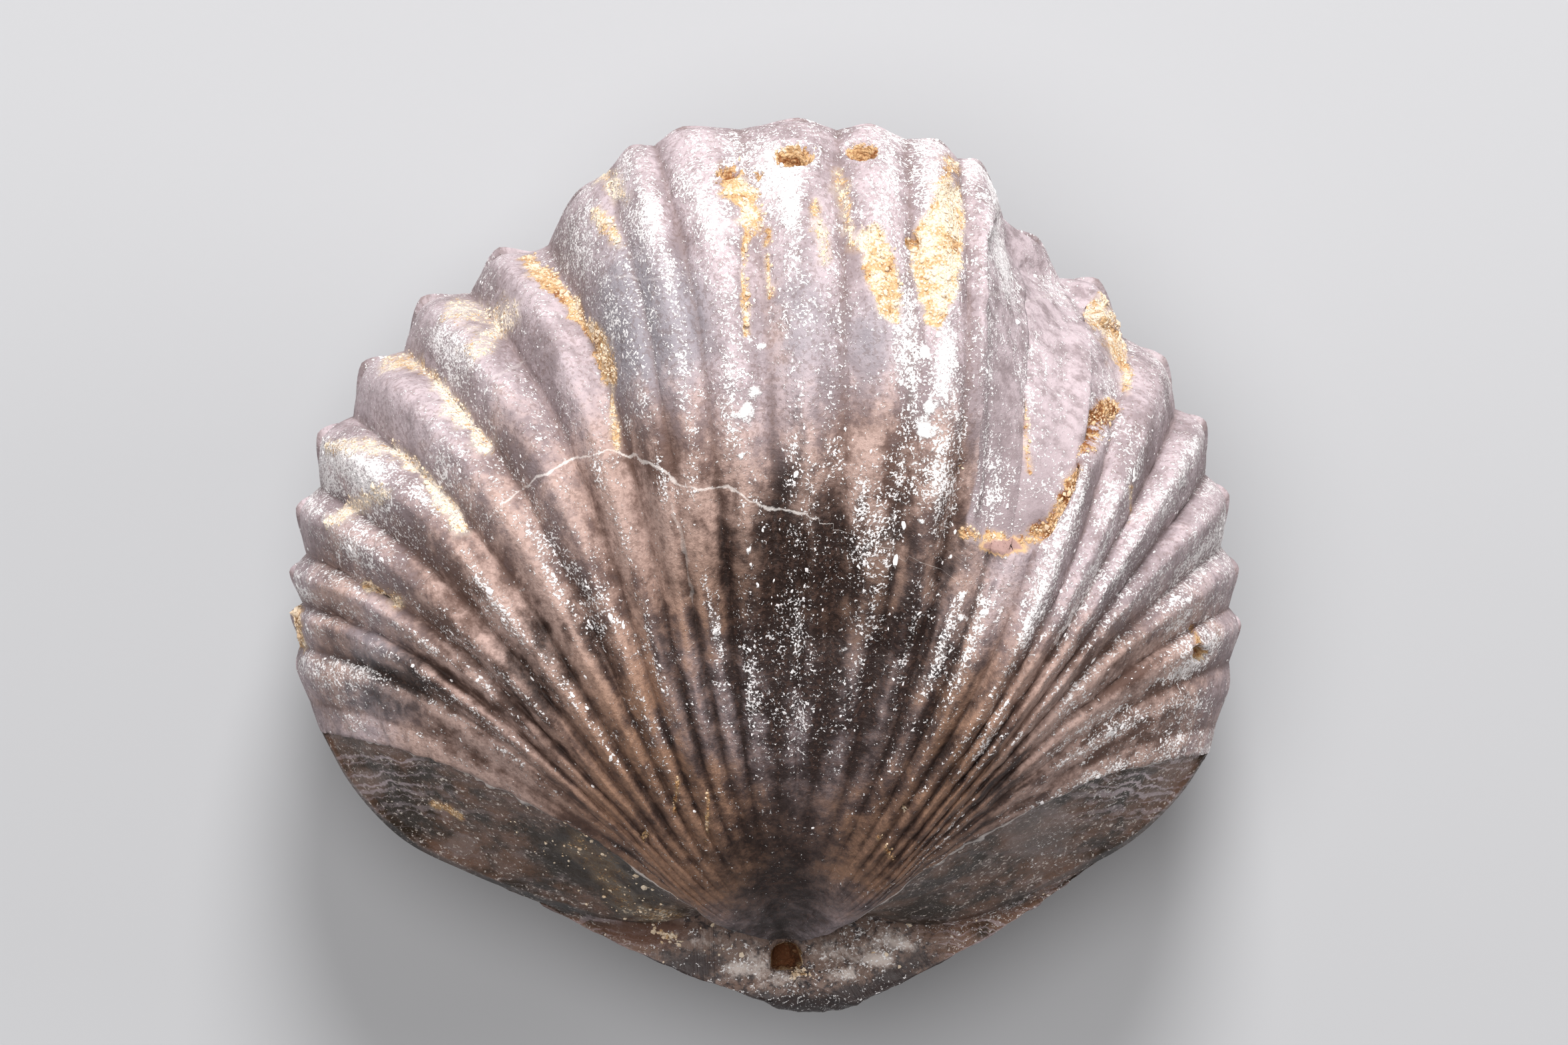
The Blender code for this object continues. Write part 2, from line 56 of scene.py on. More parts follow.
# Brachial ribs from left to right. Three bearings in degrees from +Y about the fan centre, at the margin,
# two thirds out and near the umbo, and the half height of the rib at the margin in millimetres.
RIBS = (
    (-61.5, -56.5, -60.3, 0.12), (-57.2, -52.9, -57.8, 0.28), (-53.9, -49.4, -54.9, 0.36),
    (-49.0, -45.4, -51.2, 0.42), (-43.1, -39.8, -46.4, 0.48), (-36.6, -33.2, -41.2, 0.52),
    (-29.8, -26.6, -35.0, 0.55), (-22.6, -20.4, -28.8, 0.52), (-15.6, -15.0, -21.9, 0.26),
    (-11.1, -10.6, -15.4, 0.32), (-7.2, -5.0, -8.4, 0.34), (0.8, 2.2, 3.6, 0.36),
    (5.9, 9.2, 15.0, 0.30), (10.7, 15.6, 24.0, 0.30), (14.0, 21.3, 31.3, 0.38),
    (19.8, 27.6, 37.5, 0.36), (25.5, 33.6, 42.5, 0.48), (33.4, 38.2, 46.8, 0.48),
    (39.4, 42.0, 50.4, 0.46), (45.3, 45.4, 53.5, 0.44), (51.1, 49.0, 56.2, 0.38),
    (55.9, 52.8, 58.6, 0.26), (61.0, 56.8, 60.6, 0.12),
)
LEFT_RIDGE = (-66.3, -61.5, -62.5, 0.05)
RIGHT_RIDGE = (66.6, 61.2, 62.3, 0.05)
BEARING_ROWS = (0.22, 0.68, 1.0)
RIDGE_FLARE = 26.0
FLARE_REACH = 0.35

# Margin of the ribbed part: bearing in degrees, distance from the fan centre and height, in millimetres.
MARGIN = np.array((
    (-66.4, 14.5, -0.4), (-61.5, 15.9, -0.8), (-57.0, 16.75, -1.0), (-49.0, 18.3, -1.1),
    (-43.0, 19.3, -1.1), (-36.5, 20.0, -1.0), (-29.8, 20.6, -0.8), (-23.5, 20.9, -0.2),
    (-20.0, 20.9, 0.9), (-16.5, 21.6, 3.0), (-13.8, 22.2, 4.3), (-11.0, 22.65, 5.0), (-6.0, 22.95, 5.5),
    (0.5, 22.95, 5.7), (6.0, 22.95, 5.5), (10.8, 22.8, 5.1), (14.2, 22.4, 4.2), (17.4, 21.35, 1.9),
    (21.0, 20.75, 0.5), (26.0, 20.35, -0.2), (33.0, 19.45, -0.8), (39.3, 18.65, -1.0),
    (45.3, 17.55, -1.1), (51.1, 16.4, -1.0), (56.0, 15.55, -0.9), (60.5, 14.55, -0.7),
    (63.5, 13.85, -0.5), (66.7, 13.14, -0.4),
))

# The smooth part of the margin on each side: row, then x, y and z in millimetres, from the middle of the
# hinge line along it, round its corner and along the side face to the ribbed margin.
LEFT_SEAM = (
    (0.0, 0.0, 0.5, 0.0), (0.1, -1.2, 0.5, 0.0), (0.2, -2.4, 0.52, 0.0), (0.3, -3.9, 0.3, -0.1),
    (0.4, -5.5, 0.5, -0.2), (0.5, -7.2, 1.0, -0.3), (0.62, -9.1, 1.75, -0.4),
    (0.78, -11.15, 2.85, -0.5), (0.9, -12.45, 4.3, -0.5), (1.0, -13.24, 5.75, -0.4),
)
RIGHT_SEAM = (
    (0.0, 0.0, 0.5, 0.0), (0.1, 1.2, 0.5, 0.0), (0.2, 2.4, 0.52, 0.0), (0.3, 3.9, 0.25, -0.1),
    (0.4, 5.4, 0.45, -0.2), (0.5, 6.8, 1.0, -0.3), (0.62, 8.4, 1.75, -0.4), (0.78, 10.2, 2.8, -0.5),
    (0.9, 11.4, 4.0, -0.5), (1.0, 12.13, 5.12, -0.4),
)
SEAM_BLEND = 0.7

# Brachial valve along a rib, its fold and its sunken side faces.
CROWN = 9.8 * MM
RIDGE_CROWN = 4.2 * MM
CROWN_FALL_BEARING = 74.0
CROWN_ROWS = (0.60, 0.42)
FOLD_LIFT = 1.1 * MM
FOLD_EDGES = (-19.0, -13.0, 14.6, 18.2)
FOLD_START = 0.38
FACE_SAG = 0.7
FACE_CURVE = 1.7

# Pedicle valve along a rib, its flanks and the face under its beak.
DEPTH = 6.9 * MM
RIDGE_DEPTH = 1.0 * MM
DEPTH_ROWS = (0.36, 0.68, 0.50)
GROOVE_SIDE = (0.38, 0.17)
DEPTH_SIDE = (0.55, 0.90)
DEPTH_SPREAD = (2.6, 0.7)
FLANK_BOWS = (3.4 * MM, 2.6 * MM)
RIDGE_BOW_SHARE = 0.6
RIDGE_START = 0.88
RIDGE_FALL = 0.9
RIDGE_SPREAD = 6.0
FACE_HOLLOW = 0.22 * MM
HOLLOW_END = 0.8

# Profiles and ribs.
CLIMB = (2.0, 0.5556)
DROP = (2.2, 0.625)
GROOVE_SHARPNESS = 1.5
RIB_GROWTH = 1.25
RIB_START = (0.04, 0.20)
FRONT_START = 0.82
FRONT_FADE = 0.35
LEAN_START = 0.86
LEAN = (0.45, 0.95)
SLOPE_STEP = 0.004

# The film of sediment between the valves.
GAP = 0.04 * MM
SEAM_CENTRE = np.array((0.0, 10.0, 1.0)) * MM
MERGE = 0.001 * MM

# How a valve's hollow side is drawn in from its edge: shares of the width and of the height that are kept.
DRAWN_IN = ((0.93, 0.7), (0.7, 0.1))

# Counts of the grids: steps in a rib, rows and steps over a side face.
BRACHIAL_STEPS = (18, 184, 30)
PEDICLE_STEPS = (14, 150, 26)
ROW_CROWDING = 0.85

CRESTS = np.array((LEFT_RIDGE,) + RIBS + (RIGHT_RIDGE,))
COLUMNS = len(RIBS) + 1


def spline(knots, values, x):
    """Smooth curve through the values at the knots, read at x."""
    knots = np.asarray(knots, float)
    values = np.asarray(values, float)
    slopes = np.gradient(values, knots)
    i = np.clip(np.searchsorted(knots, x) - 1, 0, len(knots) - 2)
    step = knots[i + 1] - knots[i]
    t = np.clip((x - knots[i]) / step, 0.0, 1.0)
    rise = t * t * (3.0 - 2.0 * t)
    start = t * (1.0 - t) ** 2
    end = t * t * (t - 1.0)
    bend = step * (slopes[i] * start + slopes[i + 1] * end)
    return values[i] * (1.0 - rise) + values[i + 1] * rise + bend


def smooth_step(low, high, x):
    """0 below low, 1 above high, with a smooth ramp between."""
    t = np.clip((x - low) / (high - low), 0.0, 1.0)
    return t * t * (3.0 - 2.0 * t)


def plateau(edges, x):
    """1 between the middle two of four edges, 0 outside the outer two."""
    return smooth_step(edges[0], edges[1], x) * (1.0 - smooth_step(edges[2], edges[3], x))


def rib_table(index, column):
    """One value of the rib list at a column, where whole columns are crests."""
    return spline(np.arange(COLUMNS + 1), CRESTS[:, index], column)


def rib_wave(column):
    """1 on a rib's rounded crest, -1 in the sharp groove between two ribs."""
    off_crest = np.abs(column - np.round(column))
    return 1.0 - 2.0 * (2.0 * off_crest) ** GROOVE_SHARPNESS


def rib_height(column, row):
    """Half height of the ribs, which grow from nothing at the umbo and fade down the fold's front."""
    front = FRONT_FADE * plateau(FOLD_EDGES, rib_table(0, column)) * smooth_step(FRONT_START, 1.0, row)
    return rib_table(3, column) * MM * row ** RIB_GROWTH * smooth_step(*RIB_START, row) * (1.0 - front)


def bearing(column, row):
    """Bearing of a rib at a row, in radians: a smooth bend through its three bearings."""
    near, middle, far = BEARING_ROWS
    at_near = (row - middle) * (row - far) / ((near - middle) * (near - far))
    at_middle = (row - near) * (row - far) / ((middle - near) * (middle - far))
    at_far = (row - near) * (row - middle) / ((far - near) * (far - middle))
    bend = rib_table(2, column) * at_near + rib_table(1, column) * at_middle + rib_table(0, column) * at_far
    flare = RIDGE_FLARE * (rib_table(2, column) / LEFT_RIDGE[2]) ** 3
    flare = -flare * np.clip(1.0 - row / FLARE_REACH, 0.0, 1.0) ** 2
    return np.radians(bend + flare)


def reach(column):
    """0 in the middle of the shell, 1 at the ridges beside the umbo."""
    return np.abs(rib_table(0, column) / LEFT_RIDGE[0])


def margin_radius(column):
    """Distance of the plain margin from the fan centre."""
    return spline(MARGIN[:, 0], MARGIN[:, 1], rib_table(0, column)) * MM


def margin_height(column):
    """Height of the plain margin: level at the sides and raised by the fold."""
    return spline(MARGIN[:, 0], MARGIN[:, 2], rib_table(0, column)) * MM


def dome(row, top_row, start, top, end, gentleness=0.0):
    """Profile along a rib: steep out of the umbo, level at its top row, steep again at the margin."""
    climb = np.clip(1.0 - row / top_row, 0.0, 1.0)
    climb = (1.0 - climb ** CLIMB[0]) ** (CLIMB[1] + gentleness)
    drop = np.clip((row - top_row) / (1.0 - top_row), 0.0, 1.0)
    drop = (1.0 - drop ** DROP[0]) ** DROP[1]
    return np.where(row < top_row, start + (top - start) * climb, end + (top - end) * drop)


def rib_lean(height_of, column, row):
    """Outward and upward parts of a rib's height: square to the valve, and leaning out at the margin."""
    above = np.minimum(row + SLOPE_STEP, 1.0)
    below = row - SLOPE_STEP
    slope = height_of(column, above) - height_of(column, below)
    slope = slope / (margin_radius(column) * (above - below))
    tilt = 1.0 / np.sqrt(1.0 + slope ** 2)
    at_margin = smooth_step(LEAN_START, 1.0, row)
    outward = -slope * tilt * (1.0 - at_margin) + LEAN[0] * at_margin
    upward = tilt * (1.0 - at_margin) + LEAN[1] * at_margin
    return outward, upward


def brachial_height(column, row):
    """Height of the upper valve without its ribs."""
    middle = rib_table(0, column)
    crown = RIDGE_CROWN + (CROWN - RIDGE_CROWN) * np.cos(np.radians(middle * 90.0 / CROWN_FALL_BEARING))
    top_row = CROWN_ROWS[0] + (CROWN_ROWS[1] - CROWN_ROWS[0]) * reach(column) ** 2
    height = dome(row, top_row, NOSE_HEIGHT, crown, margin_height(column))
    across = np.degrees(bearing(column, row)) * 0.5 + middle * 0.5
    lift = FOLD_LIFT * plateau(FOLD_EDGES, across)
    return height + lift * np.sin(math.pi * np.clip((row - FOLD_START) / (1.0 - FOLD_START), 0.0, 1.0))


def brachial_ribs(column, row):
    """Points of the ribbed part of the upper valve."""
    angle = bearing(column, row)
    radius = margin_radius(column) * row
    outward, upward = rib_lean(brachial_height, column, row)
    relief = rib_wave(column) * rib_height(column, row)
    x = FAN_CENTRE[0] + (radius + relief * outward) * np.sin(angle)
    y = FAN_CENTRE[1] + (radius + relief * outward) * np.cos(angle)
    return np.stack([x, y, brachial_height(column, row) + relief * upward], axis=-1)


def seam_points(seam, edge_column, row):
    """Points of the smooth part of the commissure, which ends where the ribbed margin starts."""
    table = np.array(seam)
    points = np.stack([spline(table[:, 0], table[:, i], row) * MM for i in (1, 2, 3)], axis=-1)
    miss = brachial_ribs(np.array([edge_column]), np.array([1.0]))[0] - table[-1, 1:] * MM
    return points + miss * smooth_step(SEAM_BLEND, 1.0, row)[..., None]


def brachial_face(ridge, seam, across, row):
    """Sunken side face between the ridge beside the umbo and the commissure, the same on every row."""
    place = ridge + (seam - ridge) * across[..., None]
    hang = FACE_SAG * (1.0 - across) ** FACE_CURVE + (1.0 - FACE_SAG) * np.sqrt(1.0 - across ** 2)
    place[..., 2] = seam[..., 2] + (ridge[..., 2] - seam[..., 2]) * hang
    return place


def pedicle_height(column, row):
    """Height of the lower valve without its ribs, below the hinge line except at the fold."""
    side = reach(column)
    bottom = np.clip(1.0 - side ** DEPTH_SPREAD[0], 0.0, 1.0) ** DEPTH_SPREAD[1]
    bottom = -RIDGE_DEPTH - (DEPTH - RIDGE_DEPTH) * bottom
    beside = np.exp(-((side - GROOVE_SIDE[0]) / GROOVE_SIDE[1]) ** 2)
    low_row = DEPTH_ROWS[0] + (DEPTH_ROWS[1] - DEPTH_ROWS[0]) * beside
    low_row = low_row + (DEPTH_ROWS[2] - DEPTH_ROWS[0]) * smooth_step(*DEPTH_SIDE, side)
    return dome(row, low_row, BEAK_HEIGHT, bottom, margin_height(column), RIDGE_FALL * side ** RIDGE_SPREAD)


def beak_start(column, row):
    """Where each lower rib sets out: at the pole on row 0, and soon from the arc round the beak's end."""
    turn = (column / COLUMNS - 0.5) * math.pi
    arc = BEAK_ARC + np.stack([np.sin(turn), -np.cos(turn)], axis=-1) * BEAK_ARC_SIZE
    over = np.sqrt(1.0 - (1.0 - np.minimum(row / BEAK_ARC_ROW, 1.0)) ** 2)
    return BEAK_POLE + (arc - BEAK_POLE) * over[..., None]


def pedicle_ribs(column, row):
    """Points of the ribbed part of the lower valve, whose ribs answer the grooves of the upper one."""
    rim = brachial_ribs(column, np.ones_like(row))
    side = np.where(column < COLUMNS / 2.0, FLANK_BOWS[0], FLANK_BOWS[1]) * reach(column) ** 2
    side = side * (1.0 - (1.0 - RIDGE_BOW_SHARE) * smooth_step(RIDGE_START, 1.0, reach(column)))
    start = beak_start(column, row)
    row = row ** 2 * (1.0 + BEAK_START) / (row + BEAK_START)
    chord = rim[..., :2] - start
    way = chord / np.linalg.norm(chord, axis=-1)[..., None]
    turn = np.where(column < COLUMNS / 2.0, -1.0, 1.0)
    bow = 2.0 * row * (1.0 - row) * side * turn
    outward, upward = rib_lean(pedicle_height, column, row)
    relief = rib_wave(column) * rib_height(column, row)
    inner = relief * np.where(row < 1.0, outward, 0.0)
    x = start[..., 0] + chord[..., 0] * row + way[..., 1] * bow + inner * way[..., 0]
    y = start[..., 1] + chord[..., 1] * row - way[..., 0] * bow + inner * way[..., 1]
    return np.stack([x, y, pedicle_height(column, row) + relief * upward], axis=-1)


def pedicle_face(ridge, seam, across, row):
    """Hollow face between the beak ridge and the commissure."""
    place = ridge + (seam - ridge) * across[..., None]
    hollow = FACE_HOLLOW * np.sin(math.pi * across) * smooth_step(1.0, HOLLOW_END, row)
    place[..., 2] = place[..., 2] - hollow
    return place


def valve_grid(steps, ribs_of, face_of):
    """Points of a whole valve with each point's column, row and place across a side face, 0 on the ribs."""
    per_rib, count, face_steps = steps
    rows = 0.5 * (1.0 - np.cos(math.pi * np.linspace(0.0, 1.0, count + 1) ** ROW_CROWDING))
    column, row = np.meshgrid(np.arange(COLUMNS * per_rib + 1) / per_rib, rows)
    ribs = ribs_of(column, row)
    across = np.arange(1, face_steps + 1)[None, :] / face_steps
    edge = row[:, :1]
    left = face_of(ribs[:, :1], seam_points(LEFT_SEAM, 0.0, edge), across, edge)
    right = face_of(ribs[:, -1:], seam_points(RIGHT_SEAM, float(COLUMNS), edge), across, edge)
    points = np.concatenate([left[:, ::-1], ribs, right], axis=1)
    side = np.broadcast_to(across, (count + 1, face_steps))
    face = np.concatenate([side[:, ::-1], 0.0 * column, side], axis=1)
    column = np.concatenate([0.0 * side, column, 0.0 * side + COLUMNS], axis=1)
    row = np.broadcast_to(edge, face.shape)
    return points, column, row, face


# ---- noise, lines and fine relief ----

LATTICE = np.random.default_rng(11).random((32, 32, 32))


def noise(points, size, seed=0):
    """Smooth noise from -1 to 1, with lumps of about that size."""
    place = points / size + 7.31 * seed
    cell = np.floor(place).astype(int)
    part = place - cell
    part = part * part * (3.0 - 2.0 * part)
    total = 0.0
    for corner in np.ndindex(2, 2, 2):
        weight = np.prod(np.where(corner, part, 1.0 - part), axis=-1)
        index = (cell + corner) % len(LATTICE)
        total = total + weight * LATTICE[index[..., 0], index[..., 1], index[..., 2]]
    return 2.0 * total - 1.0


def lumpy(points, table):
    """Sum of noises, each with its height, the size of its lumps in millimetres and its seed."""
    return sum(height * noise(points, size * MM, seed) for height, size, seed in table)


def distance_to(x, y, line):
    """Distance in millimetres from each place to a line of points."""
    nearest = np.full(np.shape(x), np.inf)
    for start, end in zip(np.array(line[:-1]), np.array(line[1:])):
        along = end - start
        t = ((x - start[0]) * along[0] + (y - start[1]) * along[1]) / (along @ along)
        t = np.clip(t, 0.0, 1.0)
        nearest = np.minimum(nearest, np.hypot(x - start[0] - t * along[0], y - start[1] - t * along[1]))
    return nearest


def depth_inside(x, y, corners):
    """Distance in millimetres inside a closed outline, negative outside it."""
    inside = np.zeros(np.shape(x), bool)
    for start, end in zip(corners, corners[1:] + corners[:1]):
        crosses = (start[1] > y) != (end[1] > y)
        rise = (end[1] - start[1]) or 1.0
        inside ^= crosses & (x < (end[0] - start[0]) * (y - start[1]) / rise + start[0])
    edge = distance_to(x, y, list(corners) + [corners[0]])
    return np.where(inside, edge, -edge)


def normals_of(points):
    """Unit normals of a grid of points, facing up."""
    along = np.gradient(points, axis=0)
    across = np.gradient(points, axis=1)
    way = np.cross(across, along)
    way = way / np.maximum(np.linalg.norm(way, axis=-1), 1e-15)[..., None]
    first = way[0] + way[0, ::-1]
    still = np.all(np.abs(points[0] - points[0, len(first) // 2]) < 1e-9, axis=-1)
    first[still] = first[still].sum(axis=0)
    way[0] = first / np.linalg.norm(first, axis=-1)[..., None]
    return way


# ---- what lies on the upper valve: places in millimetres in the shell's frame, seen from above ----

# Corners of the window where the outer layer has flaked off, and how much is lost.
WINDOW = (
    (6.3, 21.3), (5.55, 19.6), (5.45, 17.6), (5.45, 15.4), (5.3, 13.2), (4.95, 11.6), (4.9, 11.25),
    (5.54, 11.07), (6.48, 10.84), (7.08, 11.20), (7.82, 12.50), (8.78, 14.26), (9.55, 15.40),
    (9.75, 16.4), (9.68, 17.18), (9.25, 17.9), (8.6, 19.6),
)
FLAKE = 0.40 * MM
WINDOW_RAMP = 0.7
RIBS_LOST = 0.9
FACET_RISE = 0.18 * MM

# The pink lens at the window's lower end: x, y, half width, half height and how far it stands out.
LENS_SHAPE = (6.12, 11.14, 0.80, 0.30)
LENS_RISE = 0.16 * MM

# Soft folds in the window's floor: half width, rise and line.
WINDOW_FOLDS = (
    (0.42, -0.16, ((8.4, 18.1), (7.7, 17.2), (6.8, 15.3), (6.85, 13.6), (6.2, 11.6))),
    (0.80, 0.20, ((9.0, 17.4), (8.5, 15.6), (7.7, 13.8), (7.0, 12.2))),
    (0.45, 0.10, ((5.7, 18.4), (5.8, 16.0), (5.7, 13.6))),
)
WINDOW_SEAMS = (
    ((5.55, 19.4), (5.5, 17.4), (5.45, 15.4), (5.35, 13.4)),
    ((8.4, 18.1), (7.7, 17.2), (6.8, 15.3), (6.85, 13.6)), ((5.75, 19.2), (5.75, 17.0), (5.65, 14.6)),
    ((5.75, 16.9), (6.6, 17.05), (7.6, 17.1)),
)

# Sandy patches, sunk below the shell, by their corners.
PATCHES = (
    ((2.06, 19.77), (2.45, 19.99), (2.80, 19.73), (3.07, 18.80), (3.22, 17.86), (3.14, 17.25),
     (2.96, 17.20), (2.63, 17.47), (2.36, 18.21), (2.12, 18.96)),
    ((3.60, 19.73), (3.98, 20.35), (4.34, 21.11), (4.81, 21.12), (5.03, 20.17), (4.85, 18.80),
     (4.67, 17.89), (4.24, 17.06), (3.86, 17.25), (3.65, 18.07), (3.46, 18.82)),
)
PATCH_RUST = (0.30, 0.13)
PATCH_DEPTH = 0.13 * MM
PATCH_LIP = 0.035 * MM

# Round pits: x, y, half width, half length seen from above, and depth; their rims are raised.
PIT_RIM = 0.035 * MM
PITS = (
    (0.25, 21.94, 0.62, 0.36, 0.85), (2.17, 22.07, 0.48, 0.28, 0.65), (-1.55, 21.51, 0.32, 0.26, 0.42),
    (-0.79, 21.38, 0.17, 0.20, 0.22), (3.53, 19.49, 0.20, 0.24, 0.34), (11.78, 8.04, 0.26, 0.24, 0.34),
    (8.70, 14.20, 0.26, 0.22, 0.32), (4.87, 13.28, 0.11, 0.11, 0.14), (3.29, 3.83, 0.11, 0.11, 0.14),
    (-3.9, 3.05, 0.10, 0.24, 0.14), (-2.17, 2.78, 0.11, 0.13, 0.12), (11.51, 8.75, 0.10, 0.20, 0.12),
)

# Narrow grooves: half width, rise and line.
GROOVES = (
    (0.09, -0.14, ((-1.02, 19.93), (-1.09, 18.39), (-1.00, 16.96))),
    (0.07, -0.12, ((-0.47, 19.83), (-0.47, 18.90), (-0.33, 17.96))),
    (0.13, -0.22, ((0.61, 12.6), (0.52, 9.67), (0.42, 6.88), (0.35, 4.4))),
    (0.08, -0.10, ((2.27, 20.4), (2.15, 19.2), (2.10, 17.6))),
    (0.07, -0.10, ((3.42, 18.9), (3.50, 17.6), (3.70, 16.8))),
    (0.15, -0.32, ((9.05, 14.75), (8.45, 13.75), (7.70, 12.45), (7.20, 11.55))),
)

# Sediment: half width, amount, how rusty it is, and the line that it follows.
SEDIMENT = (
    (0.17, 1.0, 0.55, ((-7.25, 19.12), (-6.05, 17.96), (-5.21, 16.92), (-4.77, 15.76))),
    (0.10, 0.7, 0.35, ((-4.77, 15.8), (-4.69, 15.0), (-4.60, 13.8))),
    (0.16, 0.75, 0.10, ((-5.22, 20.43), (-4.65, 19.59))),
    (0.30, 0.62, 0.0, ((-8.58, 16.60), (-8.11, 17.14), (-7.57, 17.61))),
    (0.34, 0.62, 0.0, ((-9.3, 17.75), (-8.6, 17.5), (-7.9, 17.5))),
    (0.20, 0.80, 0.0, ((-9.69, 15.54), (-9.09, 14.72), (-8.36, 13.92))),
    (0.20, 0.66, 0.08, ((-11.3, 16.3), (-10.6, 16.3), (-9.8, 15.8))),
    (0.17, 0.85, 0.0, ((-10.86, 13.75), (-10.01, 12.98), (-9.26, 12.13), (-9.01, 11.66))),
    (0.18, 0.66, 0.0, ((-12.9, 13.9), (-12.0, 13.9), (-11.0, 13.7))),
    (0.17, 0.8, 0.0, ((-12.80, 11.78), (-11.85, 12.36), (-11.2, 12.6))),
    (0.12, 0.8, 0.35, ((-11.83, 10.01), (-11.29, 9.86), (-10.81, 9.51))),
    (0.16, 0.8, 0.5, ((-14.0, 9.3), (-13.8, 8.3))),
    (0.26, 1.0, 0.40, ((-1.50, 21.20), (-1.17, 20.70), (-0.98, 20.2))),
    (0.07, 0.9, 0.50, ((-1.02, 19.93), (-1.09, 18.39), (-1.00, 16.96))),
    (0.06, 0.9, 0.45, ((-0.47, 19.83), (-0.47, 18.90), (-0.33, 17.96))),
    (0.16, 0.62, 0.15, ((1.46, 21.4), (1.7, 20.4), (1.9, 19.4))),
    (0.12, 0.62, 0.15, ((0.88, 20.66), (1.05, 19.6), (1.15, 18.9))),
    (0.26, 0.75, 0.35, ((4.55, 21.6), (4.50, 21.0))),
    (0.12, 0.8, 0.30, ((9.05, 18.2), (9.45, 17.2), (9.66, 16.0), (9.62, 15.5))),
    (0.12, 1.0, 1.15, ((9.25, 15.10), (8.55, 14.05), (7.70, 12.60), (7.10, 11.55))),
    (0.12, 0.9, 0.60, ((4.95, 11.47), (5.45, 11.32), (5.85, 11.40))),
    (0.08, 0.8, 0.65, ((5.9, 11.30), (6.5, 11.12), (7.05, 11.30))),
    (0.05, 0.7, 0.55, ((7.11, 16.09), (7.16, 14.61), (7.11, 13.12))),
    (0.05, 0.6, 0.6, ((9.64, 12.79), (9.64, 11.7))), (0.07, 0.75, 0.8, ((11.75, 8.2), (11.51, 8.87))),
    (0.05, 0.7, 1.0, ((-2.95, 4.6), (-3.05, 3.7))), (0.05, 0.7, 1.0, ((-2.1, 4.2), (-2.15, 3.2))),
    (0.05, 0.7, 1.0, ((2.6, 3.0), (3.0, 2.4))), (0.22, 0.66, 0.05, ((-5.0, 21.5), (-4.6, 20.9))),
)

# Sediment and stains on the left side face: half widths, amount, how rusty, place.
SIDE_SEDIMENT = (
    (0.35, 0.42, 0.5, ((-5.9, 2.6), (-4.4, 0.9))), (0.10, 0.85, 0.7, ((-10.1, 3.55), (-9.3, 3.30))),
    (0.30, 0.55, 0.2, ((-4.0, 0.7), (-3.2, 0.35))),
)

# Dark gritty deposit on the left side face: x, y, radii and strength.
GRIME = ((-5.7, 2.3, 1.25, 1.2, 1.0), (-4.3, 1.0, 1.0, 0.7, 0.9), (-7.6, 3.0, 0.8, 0.5, 0.5))

# Cracks: the clear one first, then faint ones.
CRACKS = (
    ((-7.63, 12.34), (-6.94, 12.95), (-5.83, 13.51), (-4.86, 13.72), (-4.14, 13.61), (-3.47, 13.31),
     (-2.91, 12.84), (-2.35, 12.64), (-1.57, 12.78), (-0.94, 12.29), (-0.31, 12.18), (0.36, 12.01),
     (0.88, 11.8)),
    ((-3.47, 13.41), (-3.14, 12.40), (-2.68, 10.95), (-2.52, 9.67)),
    ((-4.6, 18.6), (-3.9, 18.45), (-2.9, 18.55)),
    ((-10.2, 14.9), (-9.0, 15.9), (-8.1, 15.8), (-7.2, 16.3)),
    ((5.74, 18.07), (6.88, 18.30), (8.02, 18.27)),
)

# Bruised white spots: x, y and radius.
WHITE_SPOTS = (
    (-1.06, 14.78, 0.40), (-0.80, 15.4, 0.22), (3.90, 14.33, 0.46), (4.0, 15.0, 0.25),
    (3.91, 16.5, 0.24), (-0.95, 11.06, 0.17), (1.98, 11.10, 0.15), (4.91, 9.18, 0.18),
    (-6.16, 11.84, 0.12), (-0.7, 16.6, 0.20), (0.9, 16.4, 0.16), (-7.2, 12.9, 0.16), (-1.2, 13.6, 0.18),
    (3.85, 11.9, 0.16), (-4.1, 17.9, 0.12), (-9.5, 14.9, 0.18), (-8.3, 15.5, 0.2), (4.3, 16.9, 0.16),
    (-2.9, 16.2, 0.14), (1.6, 8.2, 0.14),
)

